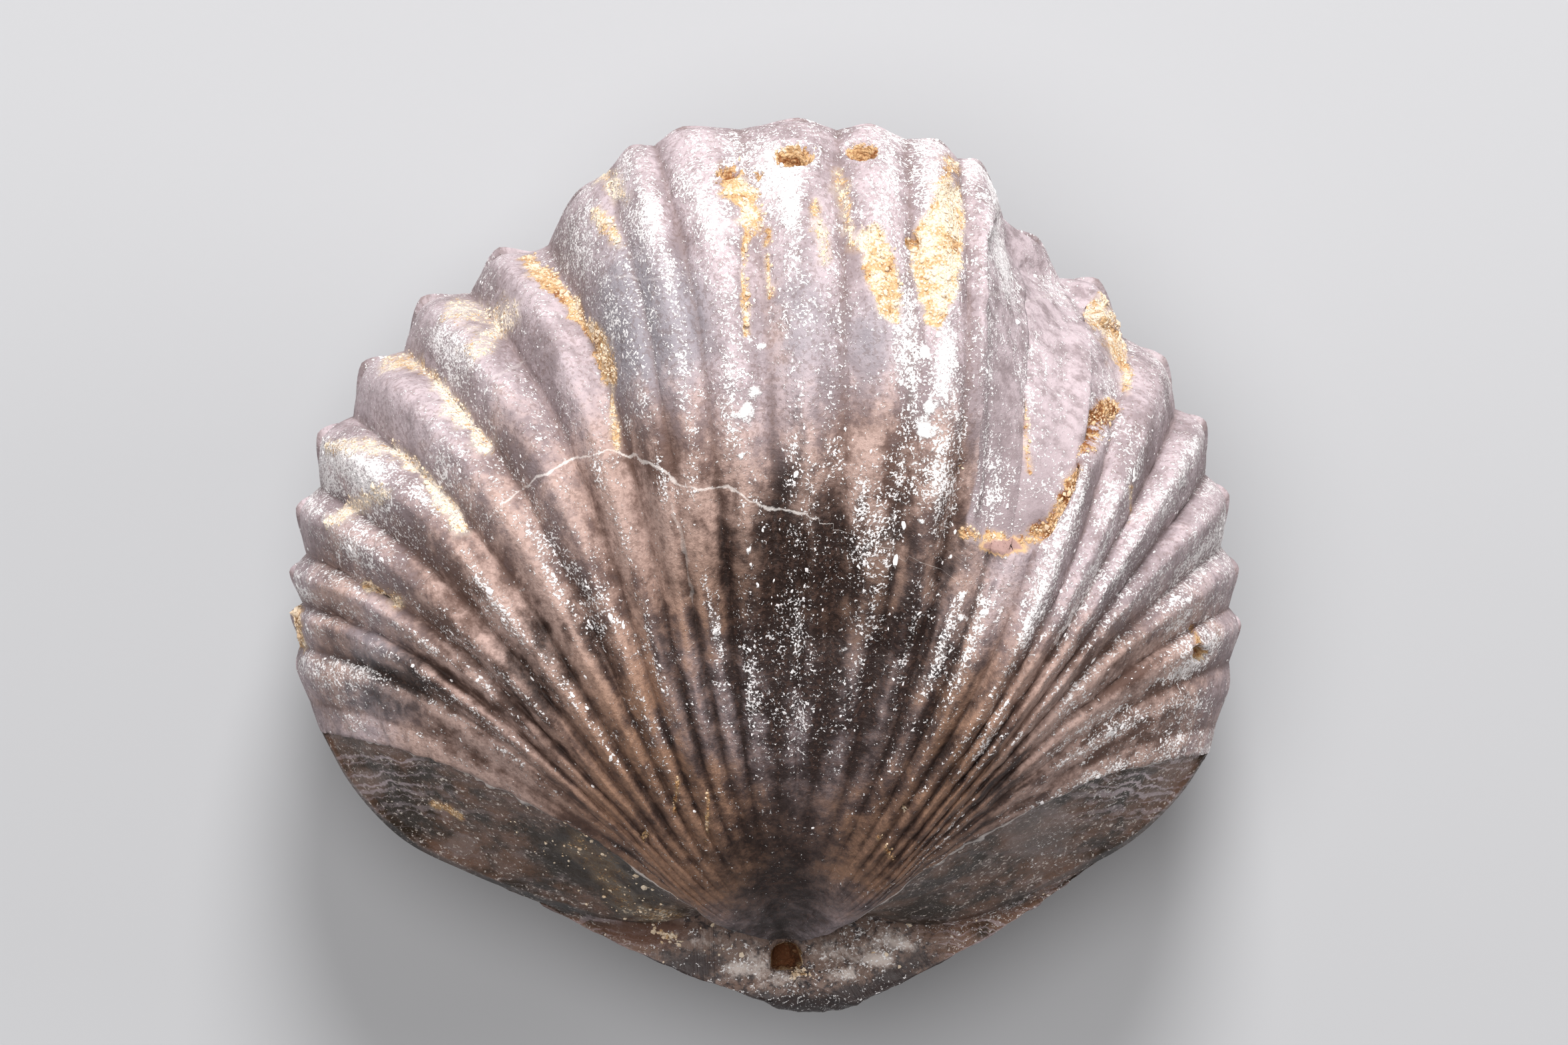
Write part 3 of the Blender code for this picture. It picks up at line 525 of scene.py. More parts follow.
# Large areas of colour, and of painted sheen and clear growth lines on the side faces: x, y, radii and
# strength.
UPPER_AREAS = {
    # dark: darker brown shell, partly painted shade, strongest round the umbo that faces away from the key
    # light
    "dark": (
        (1.2, 7.6, 4.2, 4.2, 1.0), (0.2, 1.6, 3.8, 2.8, 0.92), (-11.0, 7.3, 1.6, 1.1, 0.8),
        (-0.2, 11.2, 2.6, 2.2, 0.7), (0.45, 13.2, 0.35, 3.6, 0.8), (3.9, 8.3, 1.8, 3.0, 0.7),
        (-8.8, 3.9, 2.6, 1.6, 0.4), (-11.0, 16.0, 1.2, 1.0, 0.2), (5.2, 10.6, 0.6, 1.6, 0.5),
        (-3.6, 6.0, 2.4, 3.4, 0.55), (-6.6, 8.0, 2.0, 2.0, 0.75), (-11.2, 7.2, 1.3, 0.9, 0.7),
        (5.6, 4.6, 2.4, 2.0, 0.5),
    ),
    "amber": (
        (9.3, 7.0, 3.2, 1.6, 0.7), (11.6, 9.2, 1.6, 1.4, 0.35), (-9.3, 4.6, 2.2, 1.0, 0.9),
        (-5.6, 3.2, 2.4, 1.3, 0.95), (9.6, 4.6, 2.0, 1.0, 0.9), (6.0, 3.0, 2.4, 1.2, 0.95),
        (-8.6, 6.4, 2.0, 1.8, 0.7), (9.2, 6.6, 2.6, 1.8, 0.7), (-3.5, 12.4, 2.6, 3.2, 0.85),
        (-6.6, 6.4, 3.6, 3.8, 1.0), (2.6, 13.2, 2.2, 2.6, 0.8), (-8.8, 9.4, 2.6, 2.6, 0.7),
        (6.0, 5.8, 3.4, 3.0, 0.75), (9.0, 7.6, 2.0, 2.0, 0.4), (0.0, 10.8, 5.2, 3.0, 0.8),
        (4.7, 12.6, 0.8, 2.4, 0.6), (-2.6, 3.0, 3.0, 2.6, 1.0), (3.2, 2.8, 2.6, 2.4, 0.8),
        (-0.2, 17.6, 0.6, 1.6, 0.3), (-12.8, 8.8, 0.9, 4.0, 0.6), (-7.6, 13.6, 1.6, 2.2, 0.45),
        (-10.4, 11.6, 2.0, 2.0, 0.4), (11.0, 11.4, 2.0, 2.6, 0.15),
    ),
    "pale": (
        (6.0, 16.0, 0.8, 4.0, 0.7), (-11.0, 12.5, 3.0, 3.0, 0.6), (-13.2, 7.0, 1.2, 3.0, 0.6),
        (12.0, 8.0, 1.8, 3.4, 0.7), (3.4, 17.0, 1.4, 2.6, 0.5), (7.6, 15.6, 1.4, 2.6, 0.5),
        (3.4, 7.6, 2.2, 3.4, 0.6), (-13.2, 8.5, 1.2, 4.5, 0.5), (3.2, 13.6, 1.6, 3.0, 0.6),
        (-6.6, 18.6, 2.2, 2.0, 0.5), (10.4, 6.6, 2.6, 1.8, 0.55), (0.5, 20.5, 6.0, 2.8, 1.0),
        (-8.5, 15.0, 3.4, 3.2, 0.75), (9.8, 13.0, 3.4, 4.2, 0.8), (3.9, 15.4, 1.4, 2.4, 0.8),
        (2.2, 8.4, 2.6, 2.8, 0.50), (-0.6, 8.6, 1.6, 2.4, 0.35), (-0.9, 15.2, 0.9, 2.4, 0.6),
        (-12.2, 11.0, 1.4, 3.2, 0.5), (11.6, 9.0, 2.0, 3.4, 0.7), (7.4, 9.0, 2.4, 2.0, 0.45),
        (7.2, 17.4, 2.0, 2.2, 0.6),
    ),
    "cool": (
        (-4.2, 17.6, 1.2, 2.6, 0.9), (-2.6, 17.4, 0.8, 1.8, 0.7), (-11.4, 7.4, 2.0, 1.4, 0.9),
        (7.0, 15.6, 1.6, 3.0, 0.5), (2.4, 16.8, 0.8, 1.4, 0.5), (0.4, 17.6, 1.2, 2.2, 0.6),
    ),
    # These areas paint a sheen: paler grey on the side faces.
    "worn": (
        (7.3, 2.9, 1.25, 1.1, 1.0), (-9.3, 2.4, 0.7, 0.5, 0.8), (-12.0, 4.2, 1.0, 0.8, 0.7),
        (10.9, 3.9, 0.8, 0.7, 0.6),
    ),
    "lined": ((10.2, 4.4, 1.6, 1.0, 1.0), (-11.5, 4.6, 1.5, 1.0, 0.7)),
}

# Edges of growth layers on the flanks: row, height of the lip and how far it wanders.
GROWTH_EDGES = (
    (0.44, 0.020, 0.012), (0.53, 0.025, 0.012), (0.62, 0.040, 0.016), (0.70, 0.045, 0.014),
    (0.765, 0.070, 0.014), (0.815, 0.055, 0.012), (0.860, 0.090, 0.012), (0.900, 0.065, 0.010),
    (0.932, 0.080, 0.008), (0.958, 0.060, 0.006), (0.977, 0.060, 0.004), (0.990, 0.040, 0.003),
)
LIP_RISE = 0.05
LIP_DROP = 0.006
LIP_FLANK = (12.0, 24.0)
LIP_ON_FOLD = 0.15
LIP_WANDER = ((1.0, 2.2, 3), (0.5, 0.7, 4))
LIP_ON_CRESTS = 0.006
LIP_PATCHES = (0.6, 0.6, 3.0 * MM)

# Relief fades out towards the edge of a valve, in rows and across the side faces.
ROW_EDGE = 0.985
UPPER_FACE_EDGE = 0.93
LOWER_FACE_EDGE = 0.9

# Where ribs and striae are grown, in rows from the umbo, and how high the striae are.
GROWN = (0.06, 0.3)
STRIAE_RISE = 0.026 * MM
LOWER_STRIAE_RISE = 0.022 * MM

# Uneven places: height in millimetres, size of the lumps in millimetres and seed.
UPPER_LUMPS = ((0.040, 0.9, 7), (0.024, 0.33, 8), (0.012, 0.14, 9))
LOWER_LUMPS = ((0.045, 0.9, 37), (0.028, 0.33, 38), (0.014, 0.14, 39))
RAGGED_X = ((0.08, 0.38, 31), (0.03, 0.15, 32))
RAGGED_Y = ((0.08, 0.38, 33), (0.03, 0.15, 34))
PIT_WANDER = 0.4
SPOT_WANDER = 2.2
RAGGED_SEDIMENT = ((0.6, 0.5, 21), (0.45, 0.2, 22))
CRUMB_LUMPS = ((1.0, 0.24, 12), (0.7, 0.11, 13))
GRIME_LUMPS = ((0.05, 0.16, 23), (0.05, 0.3, 24))
FACE_WAVES = ((0.10, 1.8, 17), (0.05, 0.6, 18))
BEAK_WEAR = ((0.09, 0.8, 41), (0.06, 0.35, 42), (0.03, 0.16, 43))

# The outer layer's ragged end on the side faces, as a share of the way across them, and its ledge.
LAYER_EDGE = 0.045
LAYER_WANDER = ((0.045, 0.8, 14), (0.030, 0.22, 15))
LEDGE = 0.20 * MM


def areas(x, y, table):
    """0 to 1: how much each place lies in any of a table of soft round areas."""
    clear = 1.0
    for place_x, place_y, wide, long, strength in table:
        away = ((x - place_x) / wide) ** 2 + ((y - place_y) / long) ** 2
        clear = clear * (1.0 - strength * np.exp(-away))
    return 1.0 - clear


def growth_lips(column, row, points):
    """Height of the edges of growth layers, which rise slowly and drop towards the margin."""
    height = 0.0
    wander = lumpy(points, LIP_WANDER)
    flank = smooth_step(*LIP_FLANK, np.abs(rib_table(0, column)))
    for edge, lip, wide in GROWTH_EDGES:
        at = edge + wide * wander - LIP_ON_CRESTS * rib_wave(column)
        strength = LIP_PATCHES[0] + LIP_PATCHES[1] * noise(points, LIP_PATCHES[2], 5 + 10 * edge)
        before = smooth_step(at - LIP_RISE, at, row)
        after = smooth_step(at, at + LIP_DROP, row)
        height = height + lip * MM * np.clip(strength, 0.0, 1.2) * before * (1.0 - after)
    return height * (LIP_ON_FOLD + (1.0 - LIP_ON_FOLD) * flank)


def sediment_fields(x, y, points, table):
    """How much sediment lies at each place, and how rusty it is."""
    amount = np.zeros(np.shape(x))
    rust = np.zeros(np.shape(x))
    ragged = 1.0 + lumpy(points, RAGGED_SEDIMENT)
    for wide, strength, rusty, line in table:
        here = strength * np.clip(1.5 - 0.75 * distance_to(x, y, line) / (wide * ragged), 0.0, 1.0)
        rust = np.where(here > amount, rusty, rust)
        amount = np.maximum(amount, here)
    return amount, rust


def pit_depth(x, y):
    """Depth of the round pits, in metres, how far inside one each place is, and the rim round it."""
    depth, inside, rim = np.zeros((3,) + np.shape(x))
    for place_x, place_y, wide, long, deep in PITS:
        away = np.hypot((x - place_x) / wide, (y - place_y) / long)
        depth = np.maximum(depth, deep * MM * (1.0 - smooth_step(0.62, 1.02, away)))
        inside = np.maximum(inside, (0.38 + 0.8 * deep) * (1.0 - smooth_step(0.86, 1.04, away)))
        rim = np.maximum(rim, plateau((0.95, 1.06, 1.15, 1.45), away))
    return depth, inside, rim


def drawn_out(column, row, points, seed):
    """Patchy noise drawn out along the ribs, about -1 to 1, which fades near the umbo."""
    along = np.stack([column * 1.1, row * 2.8, 0.0 * row], axis=-1)
    streaks = noise(along, 0.36, seed) + 0.6 * noise(along * (1.0, 1.6, 1.0), 0.17, seed + 1)
    patches = noise(points, 1.7 * MM, seed + 2) + 0.5 * noise(points, 0.6 * MM, seed + 3)
    return (streaks * smooth_step(0.12, 0.45, row) + 0.6 * patches).clip(-2.0, 2.0)


def nearest_line(x, y, lines):
    """Signed distance to the nearest of some lines, in millimetres: its sign is the side of the line."""
    near = np.full(np.shape(x), 9.0)
    signed = np.full(np.shape(x), 9.0)
    for line in lines:
        for start, end in zip(np.array(line[:-1]), np.array(line[1:])):
            along = (end - start) / np.linalg.norm(end - start)
            side = (x - start[0]) * along[1] - (y - start[1]) * along[0]
            away = distance_to(x, y, (start, end))
            signed = np.where(away < near, np.copysign(away, side), signed)
            near = np.minimum(near, away)
    return signed


def striae(column, row, seed):
    """Fine striae along the ribs, about -1 to 1."""
    along_ribs = np.stack([column * 0.16, row * 1.6, 0.0 * row], axis=-1)
    return noise(along_ribs, 0.055, seed) * smooth_step(*GROWN, row)


def skin(points, row, face, face_edge):
    """A valve's X and Y in millimetres, normals, side faces, ribs, and a value that is 0 along its edge."""
    on_face = np.where(face > 0.0, 1.0, 0.0)
    at_edge = smooth_step(1.0, ROW_EDGE, row) * smooth_step(1.0, face_edge, face)
    return points[..., 0] / MM, points[..., 1] / MM, normals_of(points), on_face, 1.0 - on_face, at_edge


def lines_relief(x, y, table):
    """Relief along lines, in metres: half width, rise in millimetres and the line."""
    return sum(rise * MM * np.exp(-(distance_to(x, y, line) / wide) ** 2) for wide, rise, line in table)


def brachial_valve():
    """The upper valve with its growth layers, window, pits and sediment."""
    points, column, row, face = valve_grid(BRACHIAL_STEPS, brachial_ribs, brachial_face)
    x, y, normal, on_face, on_ribs, at_edge = skin(points, row, face, UPPER_FACE_EDGE)
    ragged_x, ragged_y = x + lumpy(points, RAGGED_X), y + lumpy(points, RAGGED_Y)

    window = np.where(on_ribs > 0.0, depth_inside(ragged_x, ragged_y, WINDOW), -2.0)
    in_window = smooth_step(-0.02, 0.10 + WINDOW_RAMP * smooth_step(6.6, 5.2, x), window)
    amount, rust = sediment_fields(x, y, points, SEDIMENT)
    patch = np.full(np.shape(x), -9.0)
    for corners, rusty in zip(PATCHES, PATCH_RUST):
        inside = depth_inside(ragged_x, ragged_y, corners)
        rust = np.where(inside > 0.0, rusty, rust)
        patch = np.maximum(patch, inside)
    amount = np.maximum(amount, np.clip(0.62 + 6.0 * patch, 0.0, 1.0) * np.where(patch > -0.1, 1.0, 0.0))
    side_amount, side_rust = sediment_fields(x, y, points, SIDE_SEDIMENT)
    amount = amount * on_ribs + side_amount * on_face
    rust = rust * on_ribs + side_rust * on_face
    lens = np.hypot((ragged_x - LENS_SHAPE[0]) / LENS_SHAPE[2], (ragged_y - LENS_SHAPE[1]) / LENS_SHAPE[3])
    lens = 1.0 - smooth_step(0.55, 1.0, lens)
    amount = amount * (1.0 - lens)
    wander_x, wander_y = ragged_x - x, ragged_y - y
    depth, in_pit, rim = pit_depth(x + PIT_WANDER * wander_x, y + PIT_WANDER * wander_y)
    layer = np.where(on_face > 0.0, face - LAYER_EDGE - lumpy(points, LAYER_WANDER), -0.2)
    grime = areas(x, y, GRIME) * on_face

    powder, vein = drawn_out(column, row, points, 61), drawn_out(column, row, points, 66)
    clean = on_ribs * (1.0 - in_window)
    relief = (growth_lips(column, row, points) + STRIAE_RISE * striae(column, row, 6)) * clean
    relief += lumpy(points, UPPER_LUMPS) * MM + lines_relief(x, y, GROOVES)
    facets = np.abs(noise(points, 2.4 * MM, 16)) - 0.3
    lost = FLAKE * (1.0 - 0.55 * smooth_step(6.8, 5.4, x))
    lost = lost + RIBS_LOST * rib_wave(column) * rib_height(column, row)
    relief -= in_window * (lost - FACET_RISE * facets)
    relief += in_window * lines_relief(x, y, WINDOW_FOLDS)
    relief -= PATCH_DEPTH * smooth_step(-0.01, 0.07, patch) * on_ribs
    relief += PATCH_LIP * plateau((-0.26, -0.10, -0.06, 0.0), patch) * on_ribs
    crumbs = lumpy(points, CRUMB_LUMPS)
    relief += smooth_step(0.35, 0.8, amount) * (0.02 + 0.032 * crumbs) * MM + in_pit * 0.05 * MM * crumbs
    relief -= LEDGE * smooth_step(0.0, 0.05, layer) * smooth_step(0.2, 0.5, row)
    relief += lumpy(points, GRIME_LUMPS) * MM * grime
    lines = noise(np.stack([row, 0.0 * row, 0.02 * face], axis=-1), 0.011, 19)
    relief += (lumpy(points, FACE_WAVES) + 0.004 * lines) * MM * on_face
    relief += PIT_RIM * rim - depth + LENS_RISE * lens
    points = points + normal * (relief * at_edge)[..., None]

    seams = np.min([distance_to(ragged_x, ragged_y, line) for line in WINDOW_SEAMS], axis=0)
    spots = [(a, b, r, r, 1.0) for a, b, r in WHITE_SPOTS]
    values = {
        "column": column, "row": row, "crest": rib_wave(column) * on_ribs * smooth_step(*GROWN, row),
        "window": np.clip(window, -1.0, 1.0), "sediment": amount, "rust": rust,
        "pit": np.minimum(in_pit, 1.0), "rim": rim, "grime": grime, "lens": lens, "layer": layer,
        "crack": np.clip(nearest_line(ragged_x, ragged_y, CRACKS[:1]), -1.0, 1.0),
        "hair": np.clip(nearest_line(ragged_x, ragged_y, CRACKS[1:]), -1.0, 1.0),
        "powder": powder, "vein": vein,
        "spot": areas(x + SPOT_WANDER * wander_x, y + SPOT_WANDER * wander_y, spots),
    }
    values.update({key: areas(x, y, table) for key, table in UPPER_AREAS.items()})
    # Pale powder along the window's seams; along its left edge it is also a painted highlight of the lit
    # step.
    values["pale"] = np.maximum(values["pale"], in_window * 1.6 * np.exp(-(seams / 0.12) ** 2))
    still = on_ribs * (1.0 - values["pit"])
    return closed_valve("brachial_valve_shell", points, normal, values, still, 0.5 * GAP)


# ---- making a piece ----

def deselect():
    """Nothing is selected, and Blender is in object mode."""
    if bpy.context.object and bpy.context.object.mode != "OBJECT":
        bpy.ops.object.mode_set(mode="OBJECT")
    bpy.ops.object.select_all(action="DESELECT")


def face_outward():
    """The faces of the object in edit mode all look outward, and it goes back to object mode."""
    bpy.ops.mesh.select_all(action="SELECT")
    bpy.ops.mesh.normals_make_consistent(inside=False)
    bpy.ops.object.mode_set(mode="OBJECT")


def closed_valve(name, points, normal, values, still, lift):
    """A grid primitive laid over the valve, with its hollow side drawn in and closed inside the commissure.

    Returns the piece, and the skin that grains lie on.
    """
    rows, columns = points.shape[:2]
    deselect()
    bpy.ops.mesh.primitive_grid_add(x_subdivisions=columns - 1, y_subdivisions=rows - 1, size=2.0)
    piece = bpy.context.object
    piece.name = name
    mesh = piece.data
    flat = np.empty(3 * len(mesh.vertices))
    mesh.vertices.foreach_get("co", flat)
    flat = flat.reshape(-1, 3)
    column = np.rint((flat[:, 0] + 1.0) * 0.5 * (columns - 1)).astype(int)
    row = np.rint((flat[:, 1] + 1.0) * 0.5 * (rows - 1)).astype(int)
    shift = UMBO_AT + np.array((0.0, 0.0, lift))
    mesh.vertices.foreach_set("co", (points[row, column] + shift).ravel())
    for key, field in values.items():
        layer = mesh.attributes.new(key, "FLOAT", "POINT")
        layer.data.foreach_set("value", field[row, column].astype(np.float32))
    mesh.update()
    bpy.ops.object.mode_set(mode="EDIT")
    bpy.ops.mesh.select_all(action="SELECT")
    bpy.ops.mesh.remove_doubles(threshold=MERGE)
    bpy.ops.mesh.select_all(action="DESELECT")
    bpy.ops.mesh.select_mode(type="EDGE")
    bpy.ops.mesh.select_non_manifold(extend=False)
    centre = tuple(SEAM_CENTRE + shift)
    for shrink, flatten in DRAWN_IN:
        bpy.ops.mesh.extrude_edges_move()
        bpy.ops.transform.resize(value=(shrink, shrink, flatten), center_override=centre)
    bpy.ops.mesh.merge(type="CENTER")
    face_outward()
    bpy.ops.object.shade_smooth()
    return piece, (points + np.array((0.0, 0.0, lift)), normal, dict(values, still=still))


# The opening in the beak: x, y, half width and half height of its arch, and its depth.
FORAMEN = (0.07, -0.66, 0.47, 0.42)
FORAMEN_DEPTH = 0.85 * MM
FORAMEN_RIM = 0.05 * MM

# Under the umbo lies a thin dark line: painted shadow of the overhanging umbo, with some sediment.
UMBO_LINE = ((-1.9, 0.42), (-1.46, 0.30), (-0.51, 0.03), (0.26, -0.10), (1.21, 0.03), (1.88, 0.40))

# Growth layers of the lower valve stand out more. The beak's wear and its pale tone are round its middle.
PEDICLE_EDGES = 1.3
BEAK_MIDDLE = (0.4, -0.6)

# Large areas of colour, as on the upper valve.
LOWER_AREAS = {
    "dark": (
        # dark: round the beak, painted shade on the slopes below its ridges; elsewhere darker shell.
        (1.1, -2.1, 1.0, 0.38, 0.95), (2.3, -1.75, 0.8, 0.32, 1.0), (3.2, -1.35, 0.7, 0.32, 1.0),
        (4.2, -0.75, 0.8, 0.30, 0.9), (-0.9, -1.85, 0.8, 0.25, 0.6), (0.1, -2.0, 0.6, 0.3, 0.5),
        (-3.2, -0.9, 1.6, 0.5, 0.9), (-6.5, 1.0, 2.0, 0.6, 0.5), (0.6, 6.0, 3.0, 4.0, 0.6),
    ),
    "amber": (
        (-9.0, 3.0, 5.0, 4.0, 0.9), (5.0, 12.0, 6.0, 5.0, 0.6), (9.5, 2.5, 4.0, 3.0, 0.6),
        (0.0, 2.0, 5.0, 4.0, 0.7),
    ),
    "pale": ((0.0, 20.5, 7.0, 3.0, 0.9), (-6.0, 13.0, 3.0, 4.0, 0.5)),
    "red": ((-3.9, 0.0, 1.5, 0.5, 1.0), (-2.2, -0.9, 0.7, 0.3, 0.8), (0.1, -1.9, 0.5, 0.3, 0.4)),
    # light: the beak's pale worn tone with painted highlights beside the opening.
    "light": (
        (-1.3, -1.0, 0.55, 0.22, 0.8), (3.3, -0.3, 0.55, 0.22, 0.9), (2.6, -0.75, 0.5, 0.22, 0.95),
        (1.8, -1.2, 0.5, 0.2, 0.9), (0.0, -1.3, 0.6, 0.25, 0.6), (-0.75, -0.75, 0.6, 0.5, 0.5),
        (1.2, -0.6, 0.9, 0.5, 0.5), (-2.4, -0.3, 1.0, 0.5, 0.35), (2.6, -0.1, 1.0, 0.4, 0.35),
        (-0.5, -1.5, 0.4, 0.2, 0.4),
    ),
}

# A worn ridge and a furrow on the beak's right side: half width, rise and line.
BEAK_LINES = (
    (0.24, 0.14, ((1.3, -1.25), (2.6, -0.75), (3.55, -0.2), (4.6, 0.4))),
    (0.30, -0.12, ((1.1, -0.75), (2.2, -0.35), (3.4, 0.1))),
)

# Sediment round the beak, as on the upper valve.
BEAK_SEDIMENT = (
    (0.10, 0.66, 0.16, ((-2.9, -0.28), (-3.2, -0.05))),
    (0.07, 0.66, 0.6, ((-3.7, 0.25), (-3.3, -0.15))), (0.08, 0.9, 0.4, ((-2.55, 0.78), (-2.45, 0.72))),
    (0.05, 0.6, 0.5, ((2.42, -0.5), (2.48, -0.62))), (0.05, 0.6, 0.3, ((3.5, 0.3), (3.5, 0.1))),
    (0.08, 0.8, 0.2, ((0.30, -1.12), (0.55, -1.16))),
)


def pedicle_valve():
    """The lower valve with its growth layers, blunt beak and arched opening."""
    points, column, row, face = valve_grid(PEDICLE_STEPS, pedicle_ribs, pedicle_face)
    x, y, normal, on_face, on_ribs, at_edge = skin(points, row, face, LOWER_FACE_EDGE)
    lips = growth_lips(column, row, points) * on_ribs * PEDICLE_EDGES
    away_x, away_y = (x - FORAMEN[0]) / FORAMEN[2], (y - FORAMEN[1]) / FORAMEN[3]
    arch = np.where(away_y > 0.0, np.hypot(away_x, away_y), np.maximum(np.abs(away_x), np.abs(away_y)))
    arch = np.where((on_face > 0.0) & (row < 0.3) | (row < 0.001), arch, 9.0)
    hole = 1.0 - smooth_step(0.82, 1.06, arch)
    near_beak = smooth_step(0.30, 0.10, row)
    ridges = noise(np.stack([column, 3.0 * row, 0.0 * row], axis=-1), 0.9, 40) * near_beak * on_ribs
    ridges = ridges * smooth_step(0.0, 0.02, row)
    from_beak = np.hypot(x - BEAK_MIDDLE[0], y - BEAK_MIDDLE[1])
    at_beak = smooth_step(5.0, 2.5, from_beak) * (1.0 - hole)
    worn = lumpy(points, BEAK_WEAR) + lines_relief(x, y, BEAK_LINES) / MM * on_face
    relief = LOWER_STRIAE_RISE * striae(column, row, 36) * on_ribs + lumpy(points, LOWER_LUMPS) * MM
    relief -= worn * MM * at_beak * np.where(on_face > 0.0, 1.0, -0.3)
    relief += FORAMEN_RIM * plateau((0.98, 1.1, 1.2, 1.6), arch) - 0.03 * MM * ridges
    way = np.where(on_face > 0.0, 1.0, -1.0)
    points = points + normal * ((relief * way - lips) * at_edge)[..., None]
    points[..., 2] = points[..., 2] - FORAMEN_DEPTH * hole * at_edge
    amount, rust = sediment_fields(x, y, points, BEAK_SEDIMENT)
    upper = smooth_step(-2.2, -0.6, points[..., 2] / MM)
    powder, vein = drawn_out(column, row, points, 71), drawn_out(column, row, points, 76)
    values = {
        "column": column, "row": row, "face": face, "pit": hole, "rust": rust,
        "powder": powder, "vein": vein,
        "crest": rib_wave(column + 0.5) * on_ribs * smooth_step(*GROWN, row),
        "beak": smooth_step(6.0, 2.2, from_beak) * upper, "sediment": amount * upper,
        "line": smooth_step(0.16, 0.03, distance_to(x, y, UMBO_LINE)) * on_face,
        "cool": smooth_step(2.0, 4.0, x) * near_beak * on_ribs,
    }
    values.update({key: areas(x, y, table) for key, table in LOWER_AREAS.items()})
    values["dark"] = values["dark"] * upper * np.maximum(on_ribs, at_beak)
    for key in ("light", "red"):
        values[key] = values[key] * upper
    still = on_face * (1.0 - hole) * at_edge
    return closed_valve("pedicle_valve_shell", points, normal, values, still, -0.5 * GAP)


# ---- loose grains and flakes ----

# Grains of each kind: how many, mean length, width and thickness in millimetres, and seed.
UPPER_CRUMBS = (3400, (0.043, 0.036, 0.028), 51)
BEAK_CRUMBS = (160, (0.06, 0.05, 0.04), 52)
FLAKES = (2600, (0.048, 0.028, 0.008), 55)

# How their sizes vary, how rough they are and how far they stand out, as a share of their thickness.
GRAIN_SPREAD = 0.45
SMALLEST_GRAIN = 0.35
GRAIN_ROUGHNESS = 0.28
GRAIN_LIFT = 0.25

# A grain longer than this share of its width turns only a little away from the ribs, in radians.
LONG_GRAIN = 1.5
LONG_TURN = 0.5
ROUND_TURN = 3.0


def strewn(name, valve, chance, count, sizes, seed):
    """Small closed grains strewn on a valve where the chance is high.

    Their sizes are a mean length, width and thickness in millimetres.
    """
    deselect()
    bpy.ops.mesh.primitive_ico_sphere_add(subdivisions=1, radius=1.0)
    piece = bpy.context.object
    piece.name = name
    ball = np.array([vertex.co for vertex in piece.data.vertices])
    faces = np.array([polygon.vertices for polygon in piece.data.polygons])
    random = np.random.default_rng(seed)
    points, normal, fields = valve
    along = points[1:, :-1] - points[:-1, :-1]
    across = points[:-1, 1:] - points[:-1, :-1]
    weight = np.linalg.norm(np.cross(along, across), axis=-1) * chance[:-1, :-1]
    cell = random.choice(weight.size, count, p=weight.ravel() / weight.sum())
    cell = np.unravel_index(cell, weight.shape)
    shift = random.random((2, count, 1))
    place = points[:-1, :-1][cell] + along[cell] * shift[0] + across[cell] * shift[1] + UMBO_AT
    up = normal[:-1, :-1][cell]
    length, width, thick = np.array(sizes) * MM
    big = random.lognormal(0.0, GRAIN_SPREAD, (count, 1))
    big = big * (SMALLEST_GRAIN + (1.0 - SMALLEST_GRAIN) * random.random((count, 1)))
    first = along[cell] / np.maximum(np.linalg.norm(along[cell], axis=-1), 1e-12)[:, None]
    turn = LONG_TURN if length > LONG_GRAIN * width else ROUND_TURN
    turn = random.normal(0.0, turn, (count, 1))
    second = np.cross(up, first)
    way = first * np.cos(turn) + second * np.sin(turn)
    side = np.cross(up, way)
    rough = 1.0 + GRAIN_ROUGHNESS * random.standard_normal((count, len(ball), 1)).clip(-1.5, 1.5)
    shape = ball[None] * rough * big[:, None]
    flat = shape[..., :1] * length * way[:, None] + shape[..., 1:2] * width * side[:, None]
    upright = (shape[..., 2:] * thick + GRAIN_LIFT * thick * big[:, None]) * up[:, None]
    vertices = place[:, None] + (flat + upright)
    indices = faces[None] + len(ball) * np.arange(count)[:, None, None]
    mesh = bpy.data.meshes.new(name)
    mesh.from_pydata(vertices.reshape(-1, 3), [], indices.reshape(-1, 3))
    tone = mesh.attributes.new("tone", "FLOAT", "POINT")
    shade = 0.5 * random.random(count) + 0.5 * (1.0 - np.maximum(fields["rust"], fields["pit"])[cell])
    tone.data.foreach_set("value", np.repeat(shade, len(ball)).astype(np.float32))
    piece.data = mesh
    deselect()
    piece.select_set(True)
    bpy.context.view_layer.objects.active = piece
    bpy.ops.object.mode_set(mode="EDIT")
    face_outward()
    return piece


def upper_crumbs(valve):
    """Sandy grains in the pits, patches and grooves of the upper valve and on its left side face."""
    fields = valve[2]
    packed = smooth_step(0.45, 0.95, fields["sediment"])
    chance = packed * (0.6 + 0.6 * fields["rust"]) * (1.0 - fields["pit"])
    chance = chance + 0.15 * fields["pit"] + 0.10 * fields["grime"] ** 2
    return strewn("sediment_crumbs", valve, chance, *UPPER_CRUMBS)


def beak_crumbs(valve):
    """A few sandy grains round the beak."""
    chance = valve[2]["sediment"] ** 2 + 0.002 * valve[2]["still"]
    return strewn("beak_crumbs", valve, chance, *BEAK_CRUMBS)


